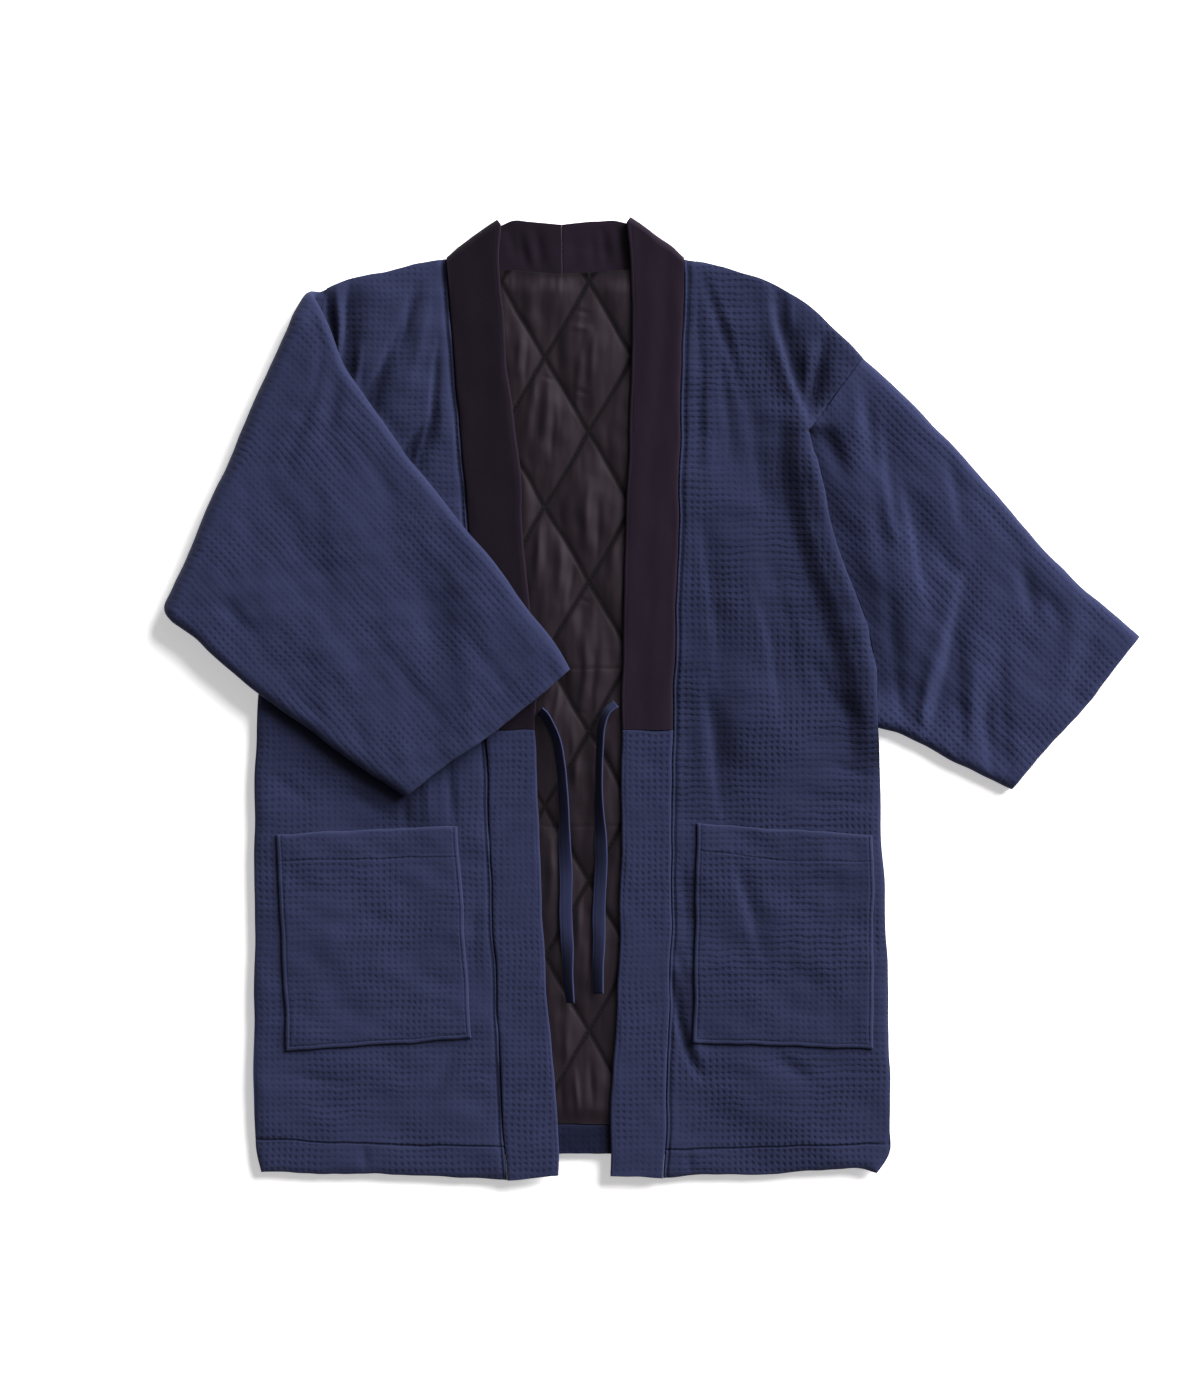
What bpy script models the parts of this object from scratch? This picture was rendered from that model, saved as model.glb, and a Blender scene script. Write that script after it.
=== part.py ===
# A padded kimono coat (hanten) laid flat on its back, with one sleeve folded over the front.
# Metres, +Z up from the surface it lies on. The hem is toward -Y, the wearer's left is +X.
# Tables are in millimetres, seen from above, and are measured on the laid-out coat.
import math

import bmesh
import bpy
from mathutils import Vector

MM = 0.001
SEAM_GAP = 0.3
LAYER_GAP = 0.3
HIDDEN_GAP = 0.9

# Panels: heights above the surface, and how their outer rims are rounded.
BACK_TOP = 7.0
FRONT_TOP = 13.6
RIM_THICKNESS = 3.0
RIM_RADIUS = 12.0
SEAM_GROOVE = 1.3
SEAM_GROOVE_WIDTH = 5.0

# Where the left front folds over the sleeve, between two heights on the coat.
OVERHANG_FROM = -80.0
OVERHANG_TO = 280.0
OVERHANG_FADE_LOW = 50.0
OVERHANG_FADE_HIGH = 26.0
OVERHANG_REACH = 28.0
OVERHANG_SLOPE = 22.0
OVERHANG_RISE = 6.6
OVERHANG_EDGE_TOP = 2.6
OVERHANG_EDGE_UNDER = 2.2

# Collar and front bands.
BAND_WIDTH = 48.0
BAND_TOP = 15.2
BAND_UNDER_SEAM = 7.9
BAND_UNDER_FREE = 11.3
BAND_ROUND = 4.0
BAND_DROP_FREE = 1.6
BAND_DROP_SEAM = 1.3
COLLAR_THICK = 5.6
COLLAR_LOW_MID = 4.2
COLLAR_FOLD_RADIUS = 3.9
NECK_PART = 0.22
TURN_PART = 0.08
LEG_SETTLE = 0.16

# Lining and the strip inside the back hem.
LINING_THIN = 1.1
LINING_PUFF = 3.0
LINING_TUCK = 22.0
LINING_SIDE_RISE = 35.0
LINING_END_RISE = 16.0
LINING_NECK_DIP = 1.4
HEM_STRIP_TOP = 9.7
HEM_STRIP_ROUND = 5.0
HEM_STRIP_DROP = 1.6

# Sleeves: flattened tubes with a thin slit between their walls.
SLEEVE_THICK = 13.2
SLEEVE_SLIT = 2.2
SLEEVE_WALL = 5.5
SLEEVE_ROUND = 11.0
SLIT_ROUND = 4.0
ARMHOLE_WIDTH = 355.0
CUFF_WIDTH = 192.0
LEFT_SLEEVE_LENGTH = 290.0
TURNED_SLEEVE_LENGTH = 300.0
CUFF_ROUND = 6.0
CUFF_DROP = 1.6
ROOT_THINNER = 0.1
ROOT_THIN_PART = 0.07
FOLD_EASE = 9.0
FOLD_RADIUS = 7.15
FOLD_START = 0.16
FOLD_END = 0.30
THIN_CORNER = 0.82
THIN_CORNER_LENGTH = 34.0
THIN_CORNER_PART = 0.06
COLLAR_CROSSING_X = -122.0
COLLAR_CROSSING_RAMP = 40.0
COLLAR_CROSSING_LIFT = 3.0

# Pockets and ties.
POCKET_WIDTH = 172.0
POCKET_HEIGHT = 205.0
POCKET_THICK = 2.4
POCKET_EDGE_THICK = 0.9
POCKET_EDGE = 4.0
POCKET_LIFT = 0.7
POCKET_MOUTH = 0.14
TIE_WIDTH = 12.5
TIE_THICK = 2.2
TIE_EDGE_SHARE = 0.45
TIE_EDGE = 3.0
TIE_BED = 11.6

# Quilting: diamonds of this width and length, with one crossing at the given point.
QUILT_WIDTH = 83.0
QUILT_LENGTH = 141.0
QUILT_CROSSING = (-19.0, 323.0)

# Outlines, each row (x, y). The seam corner is where the armhole seam goes under the fold.
SEAM_CORNER_ROW = 13
LEFT_SEAM_FOOT = 250.0
LEFT_OUTER = [
    (293, -445), (305, -425), (306, -404), (306, -380), (303, -245), (299, -145), (295, -42), (294, -14),
    (292, 31), (285, 70), (263, 125), (249, 171), (238, 226), (229, 253), (229, 253), (281, 322)]
LEFT_SEAM = [
    (93, -450), (95, -380), (99, -245), (101, -28), (105, 101), (108, 235), (110, 340), (113, 415)]
LEFT_SHOULDER = [(113, 415), (155, 405), (187, 396), (211, 383), (236, 366), (263, 340), (281, 322)]
LEFT_HEM = [(93, -450), (127, -447), (193, -446), (249, -442), (280, -441), (293, -445)]
RIGHT_OUTER = [
    (-286, -444), (-291, -423), (-292, -410), (-292, -245), (-292, -112), (-290, -19), (-288, 9),
    (-281, 94), (-267, 207), (-248, 301), (-224, 388)]
RIGHT_SEAM = [
    (-55, -452), (-59, -380), (-65, -260), (-70, -150), (-75, -28), (-82, 60), (-91, 161), (-100, 270),
    (-107, 350), (-112, 415)]
RIGHT_SHOULDER = [(-112, 415), (-134, 412), (-164, 404), (-198, 397), (-215, 392), (-224, 388)]
RIGHT_HEM = [(-55, -452), (-138, -447), (-212, -446), (-286, -444)]
BACK_LEFT_SIDE = [
    (290, -438), (303, -419), (305, -404), (304, -380), (301, -245), (297, -145), (293, -26),
    (286, 6), (277, 42), (265, 84), (250, 125), (236, 171), (228, 212), (229, 253), (229, 253), (281, 322)]
BACK_RIGHT_SIDE = [
    (-283, -440), (-289, -423), (-291, -410), (-291, -245), (-291, -112), (-290, -19), (-288, 9),
    (-281, 94), (-267, 207), (-248, 301), (-224, 388)]
BACK_SHOULDERS = [
    (-224, 388), (-198, 397), (-164, 404), (-134, 412), (-115, 412), (-107, 402), (-62, 401), (-3, 397),
    (62, 402), (108, 402), (116, 412), (155, 405), (187, 396), (211, 383), (236, 366), (263, 340),
    (281, 322)]
NECK_CORNER_ROWS = (4, 5, 6, 8, 9, 10)
BACK_HEM = [(-283, -440), (-155, -432), (19, -427), (183, -432), (290, -438)]

# Left sleeve: where it meets the coat, its top edge, its cuff and its under edge.
LEFT_SLEEVE_ROOT = BACK_LEFT_SIDE[:5:-1]
LEFT_SLEEVE_TOP = [(281, 322), (315, 291), (393, 208), (464, 128), (522, 76), (541, 60)]
LEFT_SLEEVE_CUFF = [(541, 60), (500, 6), (464, -34), (421, -84)]
LEFT_SLEEVE_UNDER = [(293, -26), (313, -32), (338, -43), (376, -63), (421, -84)]

# Right sleeve. The low layer lies beside the coat, the high one is turned over the fold line.
RIGHT_SLEEVE_ROOT = [(-224, 388), (-248, 301), (-267, 207), (-281, 94), (-288, 9)]
RIGHT_SLEEVE_LOW_UNDER = [(-288, 9), (-322, 41), (-364, 83)]
FOLD_LOW = [(-225, 386), (-364, 83)]
FOLD_HIGH = [(-233, 366), (-368, 73)]
RIGHT_SLEEVE_TOP = [
    (-233, 366), (-226, 352), (-207, 314), (-182, 278), (-155, 239), (-91, 158), (-55, 114), (-42, 94),
    (-12, 57), (4, 29)]
RIGHT_SLEEVE_UNDER = [
    (-368, 73), (-348, 58), (-336, 47), (-306, 21), (-289, 7), (-241, -27), (-197, -59), (-150, -91)]
RIGHT_SLEEVE_CUFF = [(4, 29), (-27, 1), (-74, -36), (-111, -61), (-135, -79), (-150, -91)]

# Collar legs, from the shoulder down, and the back neck, from the shoulder in.
COLLAR_TOP = 408.0
COLLAR_END = -28.0
COLLAR_LEFT_FREE = [(58, 449), (63, 373), (61, 282), (55, 101), (53, COLLAR_END)]
NECK_LEFT_SEAM = [(112.4, COLLAR_TOP), (100, 405.5), (62, 404.5), (-2.7, 400)]
NECK_LEFT_FREE = [(58, 449), (46, 450), (30, 448), (-2.7, 445)]
COLLAR_RIGHT_FREE = [
    (-60, 447), (-62, 402), (-57, 357), (-55, 312), (-51, 282), (-44, 235), (-39, 151), (-27, 0),
    (-28, COLLAR_END)]
NECK_RIGHT_SEAM = [(-111.2, COLLAR_TOP), (-99, 405.5), (-62, 404), (-3.3, 400)]
NECK_RIGHT_FREE = [(-60, 447), (-48, 450), (-35, 448), (-3.3, 445)]
BAND_LEFT_FREE = [(53, COLLAR_END), (52, -179), (49, -279), (43, -380), (43, -447)]
BAND_RIGHT_FREE = [(-28, COLLAR_END), (-20, -229), (-14, -313), (-8, -380), (-6, -447)]

# Lining, in rows (y, left x, right x) of the free edges that it runs under, and the hem strip.
LINING_ROWS = [
    (-399.5, -7, 43), (-313, -14, 47), (-179, -22, 52), (-28, -28, 53), (101, -35, 55), (235, -44, 59),
    (312, -55, 61), (375, -60, 63), (398.5, -61, 63)]
HEM_STRIP_X = (-21.0, 57.0)
HEM_STRIP_Y = (-427.0, -400.0)

# Pockets, corners (x, y): bottom outer, bottom inner, top outer, top inner.
POCKET_LEFT = [(120, -322), (290, -328), (124, -116), (290, -127)]
POCKET_RIGHT = [(-262, -330), (-88, -318), (-271, -126), (-101, -118)]
POCKET_LEFT_GAPE = 0.6
POCKET_RIGHT_GAPE = 1.6

# Ties, rows (x, y, tilt in degrees) of the centre line. A tilted strap stands on its left edge.
TIE_LEFT = [
    (49, -3.5, 60), (40.4, -10.3, 60), (34.8, -22.6, 58), (32, -42.3, 58), (32, -70.5, 58),
    (32.4, -98.7, 53), (33.4, -127, 35), (33.4, -160, 20), (32.9, -193, 8), (31.5, -221, 14),
    (30.6, -249, 32), (31.5, -276, 42)]
TIE_RIGHT = [
    (-23.5, -10.5, 48), (-17.5, -16, 52), (-9.4, -33, 53), (-4.7, -58, 50), (-0.9, -94, 46), (0, -132, 30),
    (0.5, -169, 5), (0.9, -207, 5), (1.9, -240, 32), (3.8, -268, 46), (5.6, -285, 54)]

# Largest folds, rows (x0, y0, x1, y1, half width, height). A valley has a negative height.
FRONT_FOLDS = [
    (189, 392, 214, 300, 9, 3.0),
    (199, 376, 222, 286, 5, -4.0),
    (241, 340, 231, 272, 6, -3.0),
    (296, 0, 262, 128, 16, 3.5),
    (263, 125, 230, 262, 20, 5.0),
    (150, 380, 160, 260, 16, 1.3),
    (135, 390, 134, 250, 8, -1.2),
    (-223, 375, -222, 351, 7, -2.0),
    (-206, 396, -207, 319, 7, -4.0),
    (-166, 330, -185, 284, 8, -2.5),
    (-192, 396, -190, 320, 9, 1.5),
    (-150, -96, -150, -116, 4, -1.0),
    (-108, -66, -104, -115, 4, -1.2)]
LEFT_SLEEVE_FOLDS = [
    (243, 264, 262, 215, 8, -2.5),
    (429, 125, 443, 74, 9, -1.6),
    (378, 110, 358, 6, 10, -2.4),
    (356, 6, 338, -34, 7, -2.2),
    (330, 60, 322, -38, 11, 1.6),
    (392, -8, 402, -74, 9, -1.4),
    (300, 200, 330, 60, 22, 1.2)]
RIGHT_SLEEVE_FOLDS = [
    (-206, 310, -228, 240, 9, -2.0),
    (-250, 250, -180, 130, 20, 1.2),
    (-150, 150, -110, 20, 18, -1.4),
    (-300, 120, -200, 20, 22, 1.2)]

# Mesh columns, as distances from an edge that follow its rounding, and the pieces' rough sizes.
RIM_STEPS = (1.2, 3.6, 7.5, 13.0)
RING_STEPS = (1.2, 4.0, 11.0)
CUFF_STEPS = (2.0, 6.0)
BAND_RIM_STEPS = (1.2, 4.0)
LINING_STEPS = (6.0,)
HEM_STRIP_STEPS = (1.0, 3.0)
POCKET_STEPS = (1.5, 4.0)
BACK_SIZE = (590.0, 860.0)
FRONT_SIZE = (205.0, 867.0)
LINING_SIZE = (140.0, 798.0)
RING_SIZE = 290.0
BAND_STEPS = 16
TIE_STEPS = 26
TIE_COLUMNS = (0.0, 0.18, 0.5, 0.82, 1.0)

# Linear colours.
NAVY = (0.027, 0.035, 0.085)
NAVY_SLEEVE = (0.032, 0.041, 0.095)
BLACK = (0.017, 0.014, 0.02)
LINING_BLACK = (0.022, 0.018, 0.023)


def remove_everything():
    for thing in list(bpy.data.objects):
        bpy.data.objects.remove(thing, do_unlink=True)


def smooth(value):
    value = min(max(value, 0.0), 1.0)
    return value * value * (3.0 - 2.0 * value)


def lerp(first, second, share):
    return first + (second - first) * share


def path_lengths(points):
    total = [0.0]
    for here, after in zip(points, points[1:]):
        total.append(total[-1] + math.dist(here[:2], after[:2]))
    return total


def on_path(points, share):
    """Point at a share of the path's length, on a curve through its rows. A row given twice is a corner."""
    lengths = path_lengths(points)
    target = share * lengths[-1]
    last = len(points) - 2
    piece = 0
    while piece < last and lengths[piece + 1] < target:
        piece += 1
    span = lengths[piece + 1] - lengths[piece]
    local = min(max((target - lengths[piece]) / span, 0.0), 1.0)
    start = Vector(points[piece])
    end = Vector(points[piece + 1])
    before = Vector(points[piece - 1]) if piece > 0 else start
    after = Vector(points[piece + 2]) if piece < last else end
    if before == start:
        before = start * 2 - end
    if after == end:
        after = end * 2 - start
    span_before = max((start - before).length, 1e-6)
    span_after = max((after - end).length, 1e-6)
    slope_start = ((start - before) / span_before + (end - start) / span) * 0.5 * span
    slope_end = ((end - start) / span + (after - end) / span_after) * 0.5 * span
    square = local * local
    cube = square * local
    return (start * (2 * cube - 3 * square + 1) + slope_start * (cube - 2 * square + local)
            + end * (3 * square - 2 * cube) + slope_end * (cube - square))


class Patch:
    """Plan view surface between four edges: u from left to right, v from bottom to top."""

    def __init__(self, bottom, top, left, right):
        self.edges = (bottom, top, left, right)
        self.corners = (Vector(bottom[0]), Vector(bottom[-1]), Vector(top[0]), Vector(top[-1]))

    def at(self, u, v):
        bottom, top, left, right = self.edges
        near_left, near_right, far_left, far_right = self.corners
        across = on_path(bottom, u) * (1 - v) + on_path(top, u) * v
        along = on_path(left, v) * (1 - u) + on_path(right, v) * u
        corner = (near_left * (1 - u) * (1 - v) + near_right * u * (1 - v)
                  + far_left * (1 - u) * v + far_right * u * v)
        return across + along - corner

    def shape(self):
        bottom, top, left, right = self.edges
        dense = []
        for edge, forward in ((bottom, True), (right, True), (top, False), (left, False)):
            for step in range(40):
                share = step / 40
                dense.append(on_path(edge, share if forward else 1 - share))
        return dense


def distance_to_line(x, y, first, second):
    dx = second[0] - first[0]
    dy = second[1] - first[1]
    square = dx * dx + dy * dy
    share = 0.0 if square == 0 else ((x - first[0]) * dx + (y - first[1]) * dy) / square
    share = min(max(share, 0.0), 1.0)
    return math.hypot(x - first[0] - dx * share, y - first[1] - dy * share), share


def distance_to_path(x, y, points):
    return min(distance_to_line(x, y, here, after)[0] for here, after in zip(points, points[1:]))


def folds_at(x, y, folds):
    """Sum of soft troughs and ridges that fade toward their ends."""
    total = 0.0
    for x0, y0, x1, y1, half_width, height in folds:
        distance, share = distance_to_line(x, y, (x0, y0), (x1, y1))
        if distance < 3 * half_width:
            fade = 0.45 + 0.55 * math.sin(math.pi * share)
            total += height * fade * math.exp(-(distance / half_width) ** 2)
    return total


def rounded(distance, radius):
    """0 at an edge, 1 beyond the radius, along a quarter circle."""
    short = 1.0 - min(max(distance / radius, 0.0), 1.0)
    return math.sqrt(max(1.0 - short * short, 0.0))


def row_share(points, index):
    lengths = path_lengths(points)
    return lengths[index] / lengths[-1]


def with_share(values, extra):
    """The shares with one more put in, in place of any that lies close to it."""
    kept = [value for value in values if value in (0.0, 1.0) or abs(value - extra) > 0.008]
    return sorted(kept + [extra])


def shares(length, columns, steps=RIM_STEPS, near=True, far=True):
    """Shares of a length that crowd toward its ends, in the rim steps."""
    start = [0.0] + [step / length for step in steps] if near else [0.0]
    end = [1.0 - step / length for step in reversed(steps)] + [1.0] if far else [1.0]
    middle = []
    for index in range(1, columns):
        middle.append(lerp(start[-1], end[0], index / columns))
    return start + middle + end


def grid_body(name, across, along, place, wrap=False):
    """A grid of two layers, whose points are moved to place(u, v, layer), as one closed body."""
    body = bmesh.new()
    columns = len(across) - 1
    rows = len(along) - 1
    bmesh.ops.create_grid(body, x_segments=columns, y_segments=rows, size=0.5)
    cell = {}
    for vert in body.verts:
        cell[vert] = (round((vert.co.x + 0.5) * columns), round((vert.co.y + 0.5) * rows))
    lower = dict(cell)
    raised = bmesh.ops.extrude_face_region(body, geom=body.faces[:])["geom"]
    upper = {}
    for item in raised:
        if isinstance(item, bmesh.types.BMVert):
            upper[item] = (round((item.co.x + 0.5) * columns), round((item.co.y + 0.5) * rows))
    if wrap:
        column_of = {}
        for part in (lower, upper):
            for vert, spot in part.items():
                column_of[vert] = spot[0]
        doomed = []
        for face in body.faces:
            spots = {column_of[vert] for vert in face.verts}
            if spots == {0} or spots == {columns}:
                doomed.append(face)
        bmesh.ops.delete(body, geom=doomed, context="FACES")
    for layer, part in ((0, lower), (1, upper)):
        for vert, (column, row) in part.items():
            spot = 0 if wrap and column == columns else column
            vert.co = Vector(place(across[spot], along[row], layer)) * MM
    if wrap:
        bmesh.ops.remove_doubles(body, verts=body.verts[:], dist=1e-7)
    bmesh.ops.recalc_face_normals(body, faces=body.faces[:])
    bmesh.ops.dissolve_limit(body, angle_limit=0.0015, use_dissolve_boundaries=False,
                             verts=body.verts[:], edges=body.edges[:])
    mesh = bpy.data.meshes.new(name)
    body.to_mesh(mesh)
    body.free()
    return mesh


def cloth_material(name, colour, roughness):
    material = bpy.data.materials.new(name)
    material.use_nodes = True
    shader = material.node_tree.nodes["Principled BSDF"]
    shader.inputs["Base Color"].default_value = (*colour, 1.0)
    shader.inputs["Roughness"].default_value = roughness
    material.diffuse_color = (*colour, 1.0)
    return material


left_front = Patch(LEFT_HEM, LEFT_SHOULDER, LEFT_SEAM, LEFT_OUTER)
right_front = Patch(RIGHT_HEM[::-1], RIGHT_SHOULDER[::-1], RIGHT_OUTER, RIGHT_SEAM)
back_panel = Patch(BACK_HEM, BACK_SHOULDERS, BACK_RIGHT_SIDE, BACK_LEFT_SIDE)
left_rim = LEFT_HEM[:-1] + LEFT_OUTER + LEFT_SHOULDER[::-1]
right_rim = RIGHT_HEM[:-1] + RIGHT_OUTER + RIGHT_SHOULDER[::-1]
back_rim = BACK_HEM[:-1] + BACK_LEFT_SIDE + BACK_SHOULDERS[-2::-1] + BACK_RIGHT_SIDE[-2::-1]


def root_at(y):
    """x of the hidden line where the left sleeve meets the coat, below the armhole seam."""
    rows = sorted((row[1], row[0]) for row in BACK_LEFT_SIDE[:SEAM_CORNER_ROW])
    for here, after in zip(rows, rows[1:]):
        if here[0] <= y <= after[0]:
            return lerp(here[1], after[1], (y - here[0]) / (after[0] - here[0]))
    return rows[-1][1] if y > rows[-1][0] else rows[0][1]


def overhang(x, y):
    """How far the left front rides up over the sleeve, from 0 to 1."""
    rising = smooth((y - OVERHANG_FROM) / OVERHANG_FADE_LOW)
    falling = smooth((OVERHANG_TO - y) / OVERHANG_FADE_HIGH)
    return rising * falling * smooth((x - root_at(y) + OVERHANG_REACH) / OVERHANG_SLOPE)


def front_top(x, y, rim, seam):
    """Height of a front's outer face, without the gathering over the left sleeve."""
    edge = rounded(distance_to_path(x, y, rim), RIM_RADIUS)
    rim_height = BACK_TOP + LAYER_GAP + RIM_THICKNESS
    groove = SEAM_GROOVE * math.exp(-(distance_to_path(x, y, seam) / SEAM_GROOVE_WIDTH) ** 2)
    full = FRONT_TOP + folds_at(x, y, FRONT_FOLDS)
    return lerp(rim_height, full, edge) - groove


def left_front_top(x, y):
    over = overhang(x, y)
    edge = rounded(distance_to_path(x, y, left_rim), RIM_RADIUS)
    rise = OVERHANG_RISE + OVERHANG_EDGE_TOP * (1.0 - edge)
    return front_top(x, y, left_rim, LEFT_SEAM) + over * rise


def right_front_top(x, y):
    return front_top(x, y, right_rim, RIGHT_SEAM)


def left_front_under(x, y):
    over = overhang(x, y)
    edge = rounded(distance_to_path(x, y, left_rim), RIM_RADIUS)
    return BACK_TOP + LAYER_GAP + over * (OVERHANG_RISE + OVERHANG_EDGE_UNDER * (1.0 - edge))


def make_back(u, v, layer):
    x, y = back_panel.at(u, v)
    edge = rounded(distance_to_path(x, y, back_rim), RIM_RADIUS)
    low = (BACK_TOP - RIM_THICKNESS) * (1.0 - edge)
    return (x, y, BACK_TOP if layer else low)


def make_left_front(u, v, layer):
    x, y = left_front.at(u, v)
    height = left_front_top(x, y) if layer else left_front_under(x, y)
    return (x + SEAM_GAP / 2 * (1 - u), y, height)


def make_right_front(u, v, layer):
    x, y = right_front.at(u, v)
    height = right_front_top(x, y) if layer else BACK_TOP + LAYER_GAP
    return (x - SEAM_GAP / 2 * u, y, height)


def tube_point(ring, layer, width):
    """Share across the sleeve and height from its middle, for one point of the ring."""
    side = 1.0 if ring <= 1.0 else -1.0
    share = ring if ring <= 1.0 else 2.0 - ring
    if layer:
        near = min(share, 1.0 - share) * width
        return share, side * SLEEVE_THICK / 2 * rounded(near, SLEEVE_ROUND)
    inset = SLEEVE_WALL / width
    share = lerp(inset, 1.0 - inset, share)
    near = (min(share, 1.0 - share) - inset) * width
    return share, side * SLEEVE_SLIT / 2 * rounded(near, SLIT_ROUND)


def cuff_drop(height, distance):
    """What a rounded cuff edge takes off an outer point at a distance from the cuff."""
    return math.copysign(CUFF_DROP, height) * (1.0 - rounded(distance, CUFF_ROUND))


def ring_shares(columns, corner=None):
    one_side = shares(RING_SIZE, columns, steps=RING_STEPS)
    if corner is not None:
        one_side = with_share(one_side, corner)
    return one_side + [2.0 - share for share in reversed(one_side[:-1])]


left_sleeve = Patch(LEFT_SLEEVE_UNDER[::-1], LEFT_SLEEVE_TOP[::-1], LEFT_SLEEVE_CUFF[::-1],
                    LEFT_SLEEVE_ROOT[::-1])


def make_left_sleeve(ring, v, layer):
    width = lerp(ARMHOLE_WIDTH, CUFF_WIDTH, v)
    share, height = tube_point(ring, layer, width)
    x, y = left_sleeve.at(1.0 - v, 1.0 - share)
    if layer:
        height *= 1.0 - ROOT_THINNER * (1.0 - smooth(v / ROOT_THIN_PART))
        if ring <= 1.0:
            height += folds_at(x, y, LEFT_SLEEVE_FOLDS) * smooth(min(share, 1 - share) * FOLD_EASE)
        height -= cuff_drop(height, (1.0 - v) * LEFT_SLEEVE_LENGTH)
    clear = SEAM_GAP + HIDDEN_GAP * smooth((LEFT_SEAM_FOOT - y) / RIM_RADIUS)
    return (x + clear * (1 - v), y, SLEEVE_THICK / 2 + height)


fold_axis = Vector(FOLD_LOW[1]) - Vector(FOLD_LOW[0])
fold_axis.normalize()
fold_out = Vector((fold_axis.y, -fold_axis.x))
low_sleeve = Patch(RIGHT_SLEEVE_ROOT, FOLD_LOW, [RIGHT_SLEEVE_ROOT[0], FOLD_LOW[0]],
                   RIGHT_SLEEVE_LOW_UNDER)
high_sleeve = Patch(FOLD_HIGH, RIGHT_SLEEVE_CUFF, RIGHT_SLEEVE_TOP, RIGHT_SLEEVE_UNDER)


def make_right_sleeve(ring, v, layer):
    onward = (v - FOLD_END) / (1.0 - FOLD_END)
    width = lerp(ARMHOLE_WIDTH, CUFF_WIDTH, max(onward, 0.0))
    share, height = tube_point(ring, layer, width)
    thin = lerp(THIN_CORNER, 1.0, smooth(share * width / THIN_CORNER_LENGTH))
    if v <= FOLD_START:
        x, y = low_sleeve.at(share, v / FOLD_START)
        return (x - SEAM_GAP - HIDDEN_GAP, y, (SLEEVE_THICK / 2 - height) * thin)
    if v < FOLD_END:
        turn = (v - FOLD_START) / (FOLD_END - FOLD_START)
        angle = math.pi * turn
        base = low_sleeve.at(share, 1.0).lerp(high_sleeve.at(share, 0.0), turn)
        radius = (FOLD_RADIUS + height) * thin
        level = (SLEEVE_THICK / 2 + FOLD_RADIUS) * thin - radius * math.cos(angle)
        spot = base + fold_out * radius * math.sin(angle)
        return (spot.x, spot.y, level)
    x, y = high_sleeve.at(share, onward)
    full = lerp(thin, 1.0, smooth(onward / THIN_CORNER_PART))
    lift = COLLAR_CROSSING_LIFT * smooth((x - COLLAR_CROSSING_X) / COLLAR_CROSSING_RAMP)
    height *= full
    if layer:
        if ring <= 1.0:
            height += folds_at(x, y, RIGHT_SLEEVE_FOLDS) * smooth(min(share, 1 - share) * FOLD_EASE)
        height -= cuff_drop(height, (1.0 - onward) * TURNED_SLEEVE_LENGTH)
    return (x, y, (SLEEVE_THICK / 2 + 2 * FOLD_RADIUS) * full + lift + height)


def strip_height(share, layer):
    """Height of a band across its width: share 0 at the seam, 1 at the free edge."""
    if not layer:
        return lerp(BAND_UNDER_SEAM, BAND_UNDER_FREE, share)
    drop_free = BAND_DROP_FREE * (1.0 - rounded((1.0 - share) * BAND_WIDTH, BAND_ROUND))
    drop_seam = BAND_DROP_SEAM * (1.0 - rounded(share * BAND_WIDTH, BAND_ROUND))
    return BAND_TOP - drop_free - drop_seam


def share_at_y(points, y):
    """Share of the length at which a path that runs up or down crosses a given y."""
    low, high = 0.0, 1.0
    rising = points[-1][1] > points[0][1]
    for _ in range(24):
        middle = (low + high) / 2
        if (on_path(points, middle).y < y) == rising:
            low = middle
        else:
            high = middle
    return (low + high) / 2


def band_maker(seam, free):
    end = share_at_y(seam, COLLAR_END)

    def make(u, v, layer):
        inner = on_path(free, v)
        outer = on_path(seam, end * (1.0 - v)).lerp(inner, SEAM_GAP / 2 / BAND_WIDTH)
        point = outer.lerp(inner, u)
        y = point.y - SEAM_GAP * (1 - smooth(v * BAND_STEPS))
        return (point.x, y, strip_height(u, layer))
    return make


def collar_maker(seam, free, neck_seam, neck_free):
    """Leg, turned under its slanted outer fold into half of the back neck."""
    top = share_at_y(seam, COLLAR_TOP)
    end = share_at_y(seam, COLLAR_END)
    corner = on_path(seam, top).lerp(Vector(free[0]), SEAM_GAP / BAND_WIDTH)
    axis = (Vector(free[0]) - corner).normalized()
    out = Vector((-axis.y, axis.x)) if axis.x > 0 else Vector((axis.y, -axis.x))
    half = COLLAR_THICK / 2
    leg_start = NECK_PART + TURN_PART

    def make(u, v, layer):
        side = half if layer else -half
        if v <= NECK_PART:
            onward = 1.0 - v / NECK_PART
            point = on_path(neck_seam, onward).lerp(on_path(neck_free, onward), u)
            return (point.x, point.y, COLLAR_LOW_MID - side)
        if v < leg_start:
            angle = math.pi * (v - NECK_PART) / TURN_PART
            away = Vector((0.0, 1.0)).lerp(out, smooth(u * 2.5)).normalized()
            radius = COLLAR_FOLD_RADIUS + side
            point = corner.lerp(Vector(free[0]), u) + away * radius * math.sin(angle)
            return (point.x, point.y, COLLAR_LOW_MID + COLLAR_FOLD_RADIUS - radius * math.cos(angle))
        onward = (v - leg_start) / (1.0 - leg_start)
        inner = on_path(free, onward)
        outer = on_path(seam, lerp(top, end, onward)).lerp(inner, SEAM_GAP / BAND_WIDTH)
        point = outer.lerp(inner, u)
        turned = COLLAR_LOW_MID + 2 * COLLAR_FOLD_RADIUS + side
        return (point.x, point.y, lerp(turned, strip_height(u, layer), smooth(onward / LEG_SETTLE)))
    return make


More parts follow.
